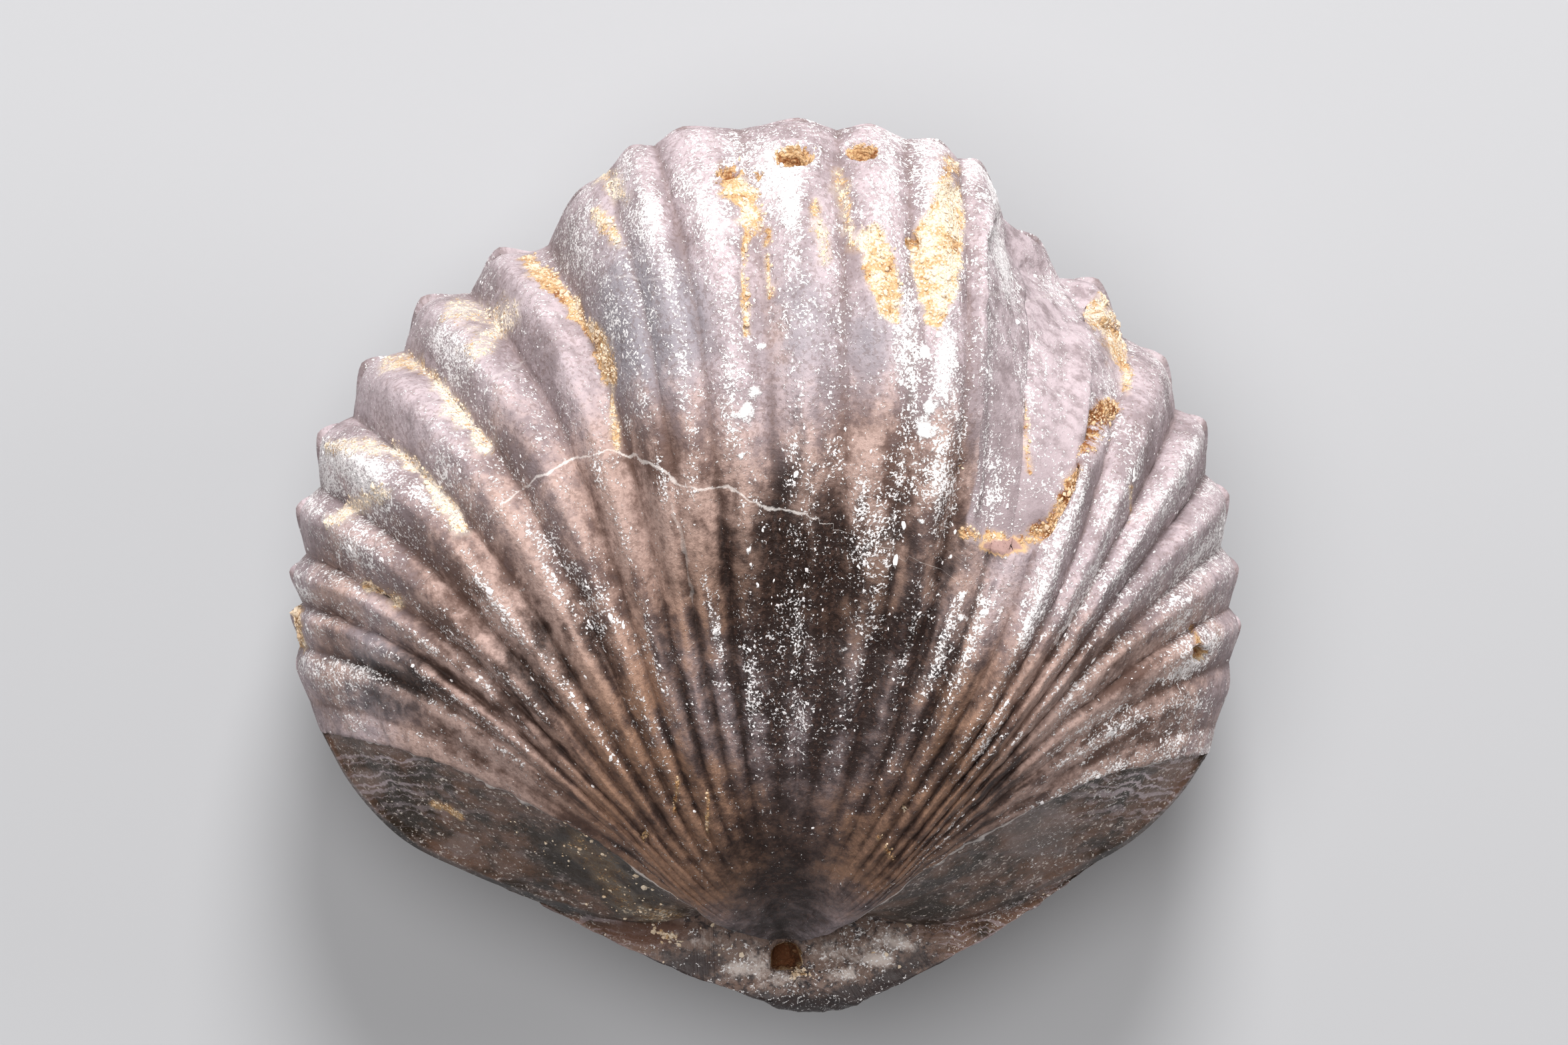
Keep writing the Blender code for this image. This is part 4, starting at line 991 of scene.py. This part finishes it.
def chalk_flakes(valve):
    """White flakes that lie along the crests of the upper valve."""
    fields = valve[2]
    crest = smooth_step(-0.3, 0.9, fields["crest"])
    patchy = smooth_step(0.2, 1.2, fields["powder"])
    dusty = 0.25 + fields["pale"] + 0.3 * fields["dark"]
    chance = (0.02 + patchy * (0.1 + crest)) * dusty * fields["still"]
    bare = 1.0 - smooth_step(0.2, 0.5, fields["sediment"])
    chance = chance * bare * smooth_step(0.05, 0.45, fields["row"])
    return strewn("chalk_flakes", valve, chance, *FLAKES)


# ---- node helpers ----

def feed(tree, node, inputs):
    """Each of these inputs of a node, linked to a socket or given a value."""
    for key, value in inputs.items():
        if isinstance(value, bpy.types.NodeSocket):
            tree.links.new(value, node.inputs[key])
        else:
            node.inputs[key].default_value = value


def put(tree, kind, inputs=None, **settings):
    """A new node with its settings and inputs."""
    made = tree.nodes.new(kind)
    for key, value in settings.items():
        setattr(made, key, value)
    feed(tree, made, inputs or {})
    return made


def math_node(operation):
    """Maker of Math nodes with one operation, which gives their result."""
    def make(tree, first, second=0.0, clamp=False):
        inputs = {0: first, 1: second}
        return put(tree, "ShaderNodeMath", inputs, operation=operation, use_clamp=clamp).outputs[0]
    return make


plus, less, times, larger, plain_size = (
    math_node(name) for name in ("ADD", "SUBTRACT", "MULTIPLY", "MAXIMUM", "ABSOLUTE"))


def centred(tree, value):
    """A value from 0 to 1 moved to lie about zero."""
    return less(tree, value, 0.5)


def total(tree, *parts):
    """Sum of values, each multiplied by its weight."""
    result = 0.0
    for value, weight in parts:
        result = plus(tree, result, times(tree, value, weight))
    return result


def fade(tree, value, low, high, start=0.0, end=1.0):
    """Smooth change from start to end as the value goes from low to high."""
    inputs = {"Value": value, "From Min": low, "From Max": high, "To Min": start, "To Max": end}
    return put(tree, "ShaderNodeMapRange", inputs, interpolation_type="SMOOTHSTEP").outputs["Result"]


def blend(tree, amount, under, over):
    """Colour over laid on colour under."""
    inputs = {0: amount, 6: under, 7: over}
    return put(tree, "ShaderNodeMix", inputs, data_type="RGBA", clamp_factor=True).outputs[2]


def tint(tree, under, over, value, low, high, strength=1.0):
    """Colour over laid on colour under as the value goes from low to high."""
    return blend(tree, fade(tree, value, low, high, 0.0, strength), under, over)


def speckle(tree, place, size, detail=3.0, rough=0.6, kind="3D"):
    """Noise value with lumps of about that size in the place's own unit."""
    inputs = {"Scale": 0.6 / size, "Detail": detail, "Roughness": rough}
    inputs["W" if kind == "1D" else "Vector"] = place
    return put(tree, "ShaderNodeTexNoise", inputs, noise_dimensions=kind).outputs["Fac"]


def group(name, inputs, outputs):
    """Empty node group with named sockets; returns it with what it is given and its output node."""
    tree = bpy.data.node_groups.new(name, "ShaderNodeTree")
    kinds = {"number": "NodeSocketFloat", "place": "NodeSocketVector", "colour": "NodeSocketColor"}
    for label, kind in inputs:
        tree.interface.new_socket(label, in_out="INPUT", socket_type=kinds[kind])
    for label, kind in outputs:
        tree.interface.new_socket(label, in_out="OUTPUT", socket_type=kinds[kind])
    return tree, tree.nodes.new("NodeGroupInput").outputs, tree.nodes.new("NodeGroupOutput")


def use_group(tree, made, inputs):
    """A node group placed in a tree, with its inputs linked or set."""
    return put(tree, "ShaderNodeGroup", inputs, node_tree=made).outputs


def chalk_dust_group():
    """White powder: fine stipple in streaks along the ribs, ragged flakes, and a thin film where it is thick.

    The rib space's second coordinate runs outward from the umbo.
    """
    tree, given, out = group(
        "chalk_dust",
        (("Place", "place"), ("Ribs", "place"), ("Crest", "number"), ("Powder", "number"),
         ("Amount", "number")),
        (("Mask", "number"), ("Height", "number")))
    stipple = speckle(tree, given["Place"], 0.045, 2.0)
    grain = speckle(tree, given["Place"], 0.14, 3.0, 0.7)
    streak = speckle(tree, given["Ribs"], 0.28, 3.0, 0.65)
    cloud = speckle(tree, given["Place"], 1.3, 2.0, 0.5)
    out_there = put(tree, "ShaderNodeSeparateXYZ", {0: given["Ribs"]}).outputs[1]
    streak = times(tree, centred(tree, streak), fade(tree, out_there, 0.7, 2.8, 0.0, 1.2))
    amount = total(tree, (given["Amount"], 1.0), (centred(tree, cloud), 0.8), (streak, 1.0),
                   (given["Powder"], 0.90), (given["Crest"], 0.24),
                   (fade(tree, out_there, 0.5, 2.4, 1.0, 0.0), -0.35))
    fine = total(tree, (stipple, 0.6), (grain, 0.4), (amount, 0.085))
    fine = fade(tree, fine, 0.572, 0.640, 0.0, 0.80)
    noisy = {"Vector": given["Place"], "Scale": 6.0, "Detail": 4.0}
    noisy = put(tree, "ShaderNodeTexNoise", noisy).outputs["Color"]
    warped = {0: given["Ribs"], 1: given["Place"], 2: noisy}
    warped = put(tree, "ShaderNodeVectorMath", warped, operation="MULTIPLY_ADD")
    cells = put(tree, "ShaderNodeTexVoronoi", {"Vector": warped.outputs[0], "Scale": 1.0})
    size = times(tree, cells.outputs["Color"], less(tree, amount, 0.25), True)
    size = less(tree, times(tree, size, 0.55), times(tree, stipple, 0.16))
    flake = fade(tree, less(tree, size, cells.outputs["Distance"]), 0.0, 0.08)
    film = fade(tree, amount, 0.6, 1.9, 0.0, 0.14)
    mask = larger(tree, larger(tree, fine, times(tree, flake, 0.75)), film)
    feed(tree, out, {"Mask": mask, "Height": plus(tree, times(tree, fine, stipple), flake)})
    return tree


def sediment_group():
    """Sandy sediment: ragged patches of packed grains, from rust brown through ochre to cream."""
    tree, given, out = group(
        "sediment",
        (("Place", "place"), ("Amount", "number"), ("Rust", "number")),
        (("Mask", "number"), ("Color", "colour"), ("Height", "number")))
    lumps = speckle(tree, given["Place"], 0.22, 4.0, 0.7)
    fine = speckle(tree, given["Place"], 0.06, 2.0)
    grains = put(tree, "ShaderNodeTexVoronoi", {"Vector": given["Place"], "Scale": 11.0})
    grains = grains.outputs["Distance"]
    edge = plus(tree, given["Amount"], times(tree, centred(tree, lumps), 1.3))
    edge = plus(tree, edge, times(tree, centred(tree, fine), 1.3))
    mask = fade(tree, edge, 0.46, 0.72)
    tone = speckle(tree, given["Place"], 0.40, 4.0, 0.75)
    tone = less(tree, tone, times(tree, given["Rust"], 0.22))
    tone = less(tree, tone, times(tree, grains, 0.16))
    ochre = tint(tree, RUST_BROWN, OCHRE, tone, 0.10, 0.30)
    cream = tint(tree, ochre, CREAM_SAND, tone, 0.30, 0.44)
    cream = tint(tree, cream, RUST_BROWN, fine, 0.62, 0.70, 0.6)
    plain = fade(tree, given["Rust"], 0.0, 0.12, 0.85, 0.0)
    plain = times(tree, plain, fade(tree, fine, 0.62, 0.50))
    cream = blend(tree, plain, cream, PALE_DUST)
    height = less(tree, lumps, times(tree, grains, 0.6))
    feed(tree, out, {"Mask": mask, "Color": cream, "Height": times(tree, height, mask)})
    return tree


def growth_line_group():
    """Fine growth lines that follow the margin, broken up along their length."""
    tree, given, out = group(
        "growth_lines",
        (("Row", "number"), ("Ribs", "place")),
        (("Line", "number"),))
    wander = times(tree, centred(tree, speckle(tree, given["Ribs"], 1.2, 2.0)), 0.03)
    row = plus(tree, given["Row"], wander)
    fine = speckle(tree, row, 0.006, 2.0, kind="1D")
    broken = speckle(tree, given["Ribs"], 0.5, 2.0)
    feed(tree, out, {"Line": times(tree, fade(tree, fine, 0.40, 0.66), fade(tree, broken, 0.38, 0.62))})
    return tree


def side_face_group():
    """The smooth side faces: glossy brown, stained and streaked, with pale growth lines and a painted sheen
    in paler grey.
    """
    tree, given, out = group(
        "side_face",
        (("Place", "place"), ("Painted_Sheen", "number"), ("Lines", "number")),
        (("Color", "colour"), ("Height", "number")))
    stain = speckle(tree, given["Place"], 1.1, 5.0, 0.65)
    mottle = speckle(tree, given["Place"], 0.30, 4.0, 0.7)
    colour = tint(tree, FACE_OLIVE, FACE_BROWN, stain, 0.40, 0.60)
    colour = tint(tree, colour, FACE_GREY, mottle, 0.52, 0.68, 0.5)
    speck = speckle(tree, given["Place"], 0.07, 2.0, 0.7)
    speck = total(tree, (speck, 1.0), (mottle, 0.25))
    colour = tint(tree, colour, PALE_DUST, speck, 0.72, 0.80, 0.7)
    down = put(tree, "ShaderNodeSeparateXYZ", {0: given["Place"]}).outputs[1]
    down = total(tree, (down, 1.0), (stain, 1.2))
    line = fade(tree, speckle(tree, down, 0.10, 2.0, kind="1D"), 0.50, 0.62)
    line = times(tree, line, fade(tree, mottle, 0.34, 0.52))
    # Paler grey where the sheen is painted.
    worn = total(tree, (given["Painted_Sheen"], 1.0), (mottle, 0.3), (-0.15, 1.0))
    colour = tint(tree, colour, FACE_GREY, worn, 0.45, 0.62, 0.45)
    lined = total(tree, (given["Lines"], 0.9), (0.12, 1.0))
    colour = blend(tree, times(tree, line, lined), colour, LILAC)
    feed(tree, out, {"Color": colour, "Height": plus(tree, mottle, times(tree, line, 0.1))})
    return tree


# ---- colours ----

LILAC = (0.440, 0.360, 0.380, 1.0)
LILAC_DARK = (0.240, 0.188, 0.196, 1.0)
BLUE_GREY = (0.225, 0.212, 0.236, 1.0)
BROWN = (0.095, 0.050, 0.036, 1.0)
AMBER = (0.262, 0.142, 0.084, 1.0)
PINK_BROWN = (0.400, 0.275, 0.235, 1.0)
DEEP_BROWN = (0.014, 0.006, 0.004, 1.0)
FACE_BROWN = (0.145, 0.078, 0.052, 1.0)
FACE_OLIVE = (0.024, 0.014, 0.007, 1.0)
FACE_GREY = (0.215, 0.160, 0.142, 1.0)
BEAK_BROWN = (0.180, 0.120, 0.096, 1.0)
BEAK_PALE_HIGHLIGHT = (0.560, 0.480, 0.440, 1.0)
RED_BROWN = (0.105, 0.050, 0.034, 1.0)
BEAK_SHADE = (0.040, 0.031, 0.031, 1.0)
UMBO_SHADE = (0.040, 0.012, 0.006, 1.0)
CHALK = (0.870, 0.835, 0.830, 1.0)
OCHRE = (0.530, 0.335, 0.170, 1.0)
CREAM_SAND = (0.690, 0.575, 0.445, 1.0)
PALE_DUST = (0.700, 0.620, 0.560, 1.0)
RUST_BROWN = (0.210, 0.075, 0.022, 1.0)
CRACK_CHALK = (0.900, 0.840, 0.800, 1.0)
PINK_LENS = (0.300, 0.185, 0.165, 1.0)

SHELL_GLOSS = 0.30


def attribute(tree, name):
    """One of the values that a mesh carries."""
    return put(tree, "ShaderNodeAttribute", attribute_name=name).outputs["Fac"]


# Steps of the rib space in one rib and in the way from the umbo to the margin.
RIB_SPACE = (1.1, 7.0)


def rib_space(tree):
    """Coordinates that run with the ribs: about a millimetre across and three along."""
    across = times(tree, attribute(tree, "column"), RIB_SPACE[0])
    along = times(tree, attribute(tree, "row"), RIB_SPACE[1])
    return put(tree, "ShaderNodeCombineXYZ", {0: across, 1: along}).outputs[0]


def new_material(name):
    """Material with a Principled shader; returns it with its tree and shader."""
    material = bpy.data.materials.new(name)
    material.use_nodes = True
    tree = material.node_tree
    return material, tree, tree.nodes["Principled BSDF"]


def millimetres(tree):
    """Object coordinates in millimetres."""
    place = put(tree, "ShaderNodeTexCoord").outputs["Object"]
    return put(tree, "ShaderNodeVectorMath", {0: place, "Scale": 1.0 / MM}, operation="SCALE").outputs[0]


def shell_tone(tree, place):
    """Colour of clean shell: lilac-grey, browner and darker where the layers are translucent, with painted
    shade in the grooves and round the umbo.
    """
    cloud = speckle(tree, place, 2.2, 4.0)
    blotch = speckle(tree, place, 0.4, 5.0, 0.7)
    vein, crest, row = attribute(tree, "vein"), attribute(tree, "crest"), attribute(tree, "row")
    uneven = total(tree, (blotch, 0.6), (vein, 0.10), (0.2, 1.0))
    # The crest term makes the crests a little lighter: painted light on the ribs.
    raised = fade(tree, plus(tree, uneven, times(tree, crest, 0.04)), 0.40, 0.60)
    base = blend(tree, raised, LILAC_DARK, LILAC)
    cool = plus(tree, attribute(tree, "cool"), times(tree, cloud, 0.8))
    base = tint(tree, base, BLUE_GREY, cool, 0.50, 1.20, 0.75)
    uneven = centred(tree, uneven)
    warm = plus(tree, attribute(tree, "amber"), times(tree, uneven, 1.2))
    earth = blend(tree, raised, BROWN, tint(tree, AMBER, PINK_BROWN, row, 0.35, 0.62))
    base = tint(tree, base, earth, warm, 0.15, 0.75, 0.95)
    # deep: painted shade, darkening the grooves between the ribs with brown.
    deep = times(tree, fade(tree, crest, -0.98, -0.35, 1.0, 0.0), fade(tree, row, 0.3, 0.6, 0.32, 0.30))
    base = blend(tree, deep, base, BROWN)
    # Darker still in the dark areas, partly painted shade round the umbo, and a little in the grooves, again
    # painted shade.
    dark = total(tree, (attribute(tree, "dark"), 1.0), (uneven, -1.5), (crest, -0.15), (vein, -0.14))
    base = tint(tree, base, DEEP_BROWN, dark, 0.30, 1.0, 0.96)
    pepper = total(tree, (speckle(tree, place, 0.085, 2.0), 1.0), (blotch, 0.45))
    return tint(tree, base, BROWN, pepper, 0.74, 0.84, 0.34)


def shell_start(name):
    """What both shell materials start from: two spaces, fine grain, the same centred, and clean colour."""
    material, tree, shader = new_material(name)
    place, ribs = millimetres(tree), rib_space(tree)
    fine = speckle(tree, place, 0.09, 4.0, 0.7)
    return material, tree, shader, place, ribs, fine, centred(tree, fine), shell_tone(tree, place)


def growth_lines(tree, growth, ribs):
    """Fine growth lines of a shell material."""
    return use_group(tree, growth, {"Row": attribute(tree, "row"), "Ribs": ribs})["Line"]


def powdered(tree, dust, place, ribs, amount):
    """White powder of a shell material: mask and height."""
    made = {"Place": place, "Ribs": ribs, "Amount": amount}
    made.update({key: attribute(tree, key.lower()) for key in ("Crest", "Powder")})
    return use_group(tree, dust, made)


def muddied(tree, sediment, place, rust_and_shade_in_pits):
    """Sediment of a shell material, on it and in its pits: mask, colour and height."""
    inside = attribute(tree, "pit")
    amount = larger(tree, attribute(tree, "sediment"), times(tree, inside, 1.3))
    # In the pits the sediment is rustier and darker: partly painted shade in the hollows.
    rust = total(tree, (attribute(tree, "rust"), 1.0), (inside, rust_and_shade_in_pits))
    return use_group(tree, sediment, {"Place": place, "Amount": amount, "Rust": rust})


def surface(tree, shader, colour, roughness, height, strength, distance):
    """Colour, roughness and bump of a material; the bump's distance is in millimetres."""
    bump = put(tree, "ShaderNodeBump", {"Height": height, "Strength": strength, "Distance": distance * MM})
    feed(tree, shader, {"Base Color": colour, "Roughness": roughness, "Normal": bump.outputs["Normal"]})


def brachial_material(dust, sediment, growth, side):
    """Shell of the upper valve, from lilac-grey to dark brown, dusty, with sediment in its grooves."""
    material, tree, shader, place, ribs, fine, grit, colour = shell_start("lilac_fossil_shell")
    in_window = fade(tree, attribute(tree, "window"), 0.0, 0.08)
    layer = tint(tree, LILAC_DARK, LILAC, speckle(tree, place, 0.35, 5.0, 0.7), 0.36, 0.60)
    layer = tint(tree, layer, BROWN, fine, 0.54, 0.68, 0.25)
    # Darker lilac towards the window's lower end: painted shade under its ledge.
    layer = tint(tree, layer, LILAC_DARK, attribute(tree, "row"), 0.88, 0.64, 0.80)
    colour = blend(tree, in_window, colour, layer)
    lines = growth_lines(tree, growth, ribs)
    edge = plus(tree, attribute(tree, "layer"), times(tree, grit, 0.05))
    on_face = fade(tree, edge, -0.012, 0.006)
    # The worn areas carry the painted sheen of the side faces.
    worn, lined = attribute(tree, "worn"), attribute(tree, "lined")
    faces = use_group(tree, side, {"Place": place, "Painted_Sheen": worn, "Lines": lined})
    colour = blend(tree, on_face, colour, faces["Color"])
    frayed = times(tree, fade(tree, edge, -0.05, -0.01), fade(tree, edge, -0.005, 0.012, 1.0, 0.0))
    colour = blend(tree, times(tree, frayed, 0.55), colour, CRACK_CHALK)
    weights = (("pale", 0.70), ("dark", -0.30), ("amber", -0.34), ("rim", 0.5), ("sediment", -0.8))
    amount = total(tree, (on_face, -0.75), (in_window, -0.05), (0.10, 1.0),
                   *((attribute(tree, key), weight) for key, weight in weights))
    powder = powdered(tree, dust, place, ribs, amount)
    colour = blend(tree, powder["Mask"], colour, CHALK)
    spot = total(tree, (attribute(tree, "spot"), 1.0), (grit, 0.9))
    spot = fade(tree, spot, 0.55, 0.80)
    colour = blend(tree, spot, colour, CHALK)
    broken = centred(tree, speckle(tree, place, 0.5))
    for name, strength in (("crack", 0.45), ("hair", 0.12)):
        crack = total(tree, (plain_size(tree, attribute(tree, name)), 1.0), (grit, 0.10), (broken, 0.16))
        crack = fade(tree, crack, 0.010, 0.050, 1.0, 0.0)
        colour = blend(tree, times(tree, crack, strength), colour, CRACK_CHALK)
    grime = total(tree, (attribute(tree, "grime"), 1.0), (grit, 0.8))
    colour = tint(tree, colour, FACE_OLIVE, grime, 0.30, 0.62, 0.9)
    lens = attribute(tree, "lens")
    colour = tint(tree, colour, OCHRE, lens, 0.05, 0.3, 0.9)
    colour = tint(tree, colour, PINK_LENS, total(tree, (lens, 1.0), (grit, 0.5)), 0.25, 0.60)
    mud = muddied(tree, sediment, place, 0.95)
    film = fade(tree, attribute(tree, "sediment"), 0.05, 0.7, 0.0, 0.30)
    mud_mask = larger(tree, mud["Mask"], film)
    colour = blend(tree, mud_mask, colour, mud["Color"])

    covered = larger(tree, powder["Mask"], mud_mask)
    roughness = fade(tree, plus(tree, attribute(tree, "dark"), on_face), 0.0, 1.0, 0.76, 0.52)
    roughness = total(tree, (roughness, 1.0), (grit, 0.3), (on_face, -0.16))
    roughness = larger(tree, roughness, times(tree, covered, 0.88))
    streaks = times(tree, speckle(tree, ribs, 0.12), less(tree, 1.0, in_window))
    height = total(tree, (fine, 0.40), (streaks, 0.30), (powder["Height"], 0.35), (mud["Height"], 1.0),
                   (lines, 0.05), (spot, 0.3), (faces["Height"], 0.3))
    surface(tree, shader, colour, roughness, height, 0.9, 0.09)
    shader.inputs["Specular IOR Level"].default_value = SHELL_GLOSS
    return material


def pedicle_material(dust, sediment, growth, side):
    """Fossil shell of the lower valve: amber and grey-brown, with a pale worn beak that carries painted
    highlights and painted shade.
    """
    material, tree, shader, place, ribs, fine, grit, colour = shell_start("amber_fossil_shell")
    lines = growth_lines(tree, growth, ribs)
    colour = blend(tree, times(tree, lines, 0.12), colour, CHALK)
    face = attribute(tree, "face")
    on_face = fade(tree, face, 0.0, 0.06)
    faces = use_group(tree, side, {"Place": place, "Painted_Sheen": 0.0, "Lines": 0.3})
    colour = blend(tree, on_face, colour, faces["Color"])
    stain = speckle(tree, place, 0.35, 5.0, 0.72)
    worn_colour = fade(tree, speckle(tree, place, 0.16, 4.0, 0.7), 0.38, 0.54)
    worn_colour = blend(tree, worn_colour, BEAK_SHADE, BEAK_BROWN)
    # On the beak, the dark areas are partly painted shade and the light ones partly painted highlights.
    # Value on the mesh, shares of stain and grit in its edge, where it starts and ends, strength, colour.
    for name, stained, grained, low, high, strength, tone in (
            ("beak", 1.6, 0.5, 0.20, 0.70, 0.92, worn_colour),
            ("red", 1.2, 0.0, 0.25, 0.75, 0.80, RED_BROWN),
            ("dark", 1.0, 0.6, 0.15, 0.60, 0.92, BEAK_SHADE),
            ("light", 1.6, 1.1, 0.25, 0.85, 0.85, BEAK_PALE_HIGHLIGHT)):
        here = total(tree, (attribute(tree, name), 1.0), (centred(tree, stain), stained), (grit, grained))
        colour = tint(tree, colour, tone, here, low, high, strength)
    colour = blend(tree, times(tree, attribute(tree, "line"), 0.8), colour, UMBO_SHADE)
    weights = (("pale", 0.6), ("light", 0.70), ("beak", 0.40))
    amount = total(tree, (on_face, -0.35), (0.08, 1.0),
                   *((attribute(tree, key), weight) for key, weight in weights))
    powder = powdered(tree, dust, place, ribs, amount)
    colour = blend(tree, powder["Mask"], colour, CHALK)
    mud = muddied(tree, sediment, place, 1.35)
    colour = blend(tree, mud["Mask"], colour, mud["Color"])
    colour = blend(tree, times(tree, attribute(tree, "pit"), 0.6), colour, UMBO_SHADE)
    covered = larger(tree, powder["Mask"], mud["Mask"])
    roughness = total(tree, (fade(tree, covered, 0.0, 1.0, 0.46, 0.86), 1.0), (grit, 0.3))
    streaks = times(tree, speckle(tree, ribs, 0.12), fade(tree, face, 0.0, 0.05, 1.0, 0.0))
    height = total(tree, (fine, 0.40), (streaks, 0.4), (powder["Height"], 0.35), (mud["Height"], 1.2),
                   (lines, 0.25), (faces["Height"], 0.4), (stain, 0.5))
    surface(tree, shader, colour, roughness, height, 0.85, 0.08)
    shader.inputs["Specular IOR Level"].default_value = SHELL_GLOSS
    return material


def grain_material(name, dark, light, roughness, size):
    """Loose grains or flakes, each with its own tone between two colours."""
    material, tree, shader = new_material(name)
    place = millimetres(tree)
    speck = speckle(tree, place, size, 3.0, 0.7)
    tone = total(tree, (attribute(tree, "tone"), 0.7), (speck, 0.6))
    colour = tint(tree, dark, light, tone, 0.15, 0.95)
    rough = fade(tree, speck, 0.3, 0.7, roughness - 0.12, roughness + 0.08)
    surface(tree, shader, colour, rough, speck, 0.6, 0.02)
    return material


# ---- floor, light and camera ----

CAMERA_AT = UMBO_AT + np.array((0.0, 11.77, 235.0)) * MM
LIT_POINT = (0.0, 0.0, 0.008)

# Lights: name, place, size in metres and power in watts.
LIGHTS = (
    ("key_light", (0.02, 0.21, 0.18), 0.10, 1.02),
    ("fill_light", (-0.04, 0.03, 0.30), 0.22, 0.68),
    ("left_light", (-0.20, 0.08, 0.12), 0.14, 0.10),
    ("right_light", (0.22, 0.06, 0.12), 0.12, 0.20),
)
FLOOR_COLOUR = (0.36, 0.36, 0.37, 1.0)
SKY_COLOUR = (1.0, 0.97, 0.95, 1.0)
SKY_STRENGTH = 0.17
SENSOR = 36.0
LENS = 188.4


def studio():
    """Plain pale floor, four soft lights, of which the strongest is beyond the front, and the camera."""
    deselect()
    bpy.ops.mesh.primitive_plane_add(size=2.0, location=(0.0, 0.0, 0.0))
    floor = bpy.context.object
    floor.name = "floor"
    material, _, shader = new_material("pale_floor")
    shader.inputs["Base Color"].default_value = FLOOR_COLOUR
    shader.inputs["Roughness"].default_value = 0.85
    floor.data.materials.append(material)
    for name, place, size, power in LIGHTS:
        bpy.ops.object.light_add(type="AREA", location=place)
        lamp = bpy.context.object
        lamp.name = name
        lamp.data.shape = "DISK"
        lamp.data.size = size
        lamp.data.energy = power
        aim = Vector(LIT_POINT) - Vector(place)
        lamp.rotation_euler = aim.to_track_quat("-Z", "Y").to_euler()
    world = bpy.context.scene.world or bpy.data.worlds.new("studio")
    bpy.context.scene.world = world
    world.use_nodes = True
    background = world.node_tree.nodes["Background"]
    background.inputs["Color"].default_value = SKY_COLOUR
    background.inputs["Strength"].default_value = SKY_STRENGTH
    bpy.ops.object.camera_add(location=tuple(CAMERA_AT), rotation=(0.0, 0.0, 0.0))
    camera = bpy.context.object
    camera.name = "camera"
    camera.data.sensor_width = SENSOR
    camera.data.lens = LENS
    camera.data.clip_start = 0.01
    camera.data.clip_end = 10.0
    bpy.context.scene.camera = camera
    bpy.context.scene.view_settings.view_transform = "Standard"


def main():
    """Both valves and what lies loose on them, then the studio."""
    effects = chalk_dust_group(), sediment_group(), growth_line_group(), side_face_group()
    upper, upper_skin = brachial_valve()
    upper.data.materials.append(brachial_material(*effects))
    lower, lower_skin = pedicle_valve()
    lower.data.materials.append(pedicle_material(*effects))
    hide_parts("brachial_valve")
    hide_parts("pedicle_valve")
    sand = grain_material("sandy_grains", OCHRE, CREAM_SAND, 0.88, 0.03)
    chalk = grain_material("chalky_flakes", LILAC, CHALK, 0.82, 0.03)
    crumbs, specks, flakes = upper_crumbs(upper_skin), beak_crumbs(lower_skin), chalk_flakes(upper_skin)
    for piece, finish_of in ((crumbs, sand), (specks, sand), (flakes, chalk)):
        piece.data.materials.append(finish_of)
    for piece, slot in ((upper, "pale_shell"), (lower, "amber_shell"), (crumbs, "pale_shell"),
                        (specks, "amber_shell"), (flakes, "pale_shell")):
        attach(piece, "root")
    studio()


main()
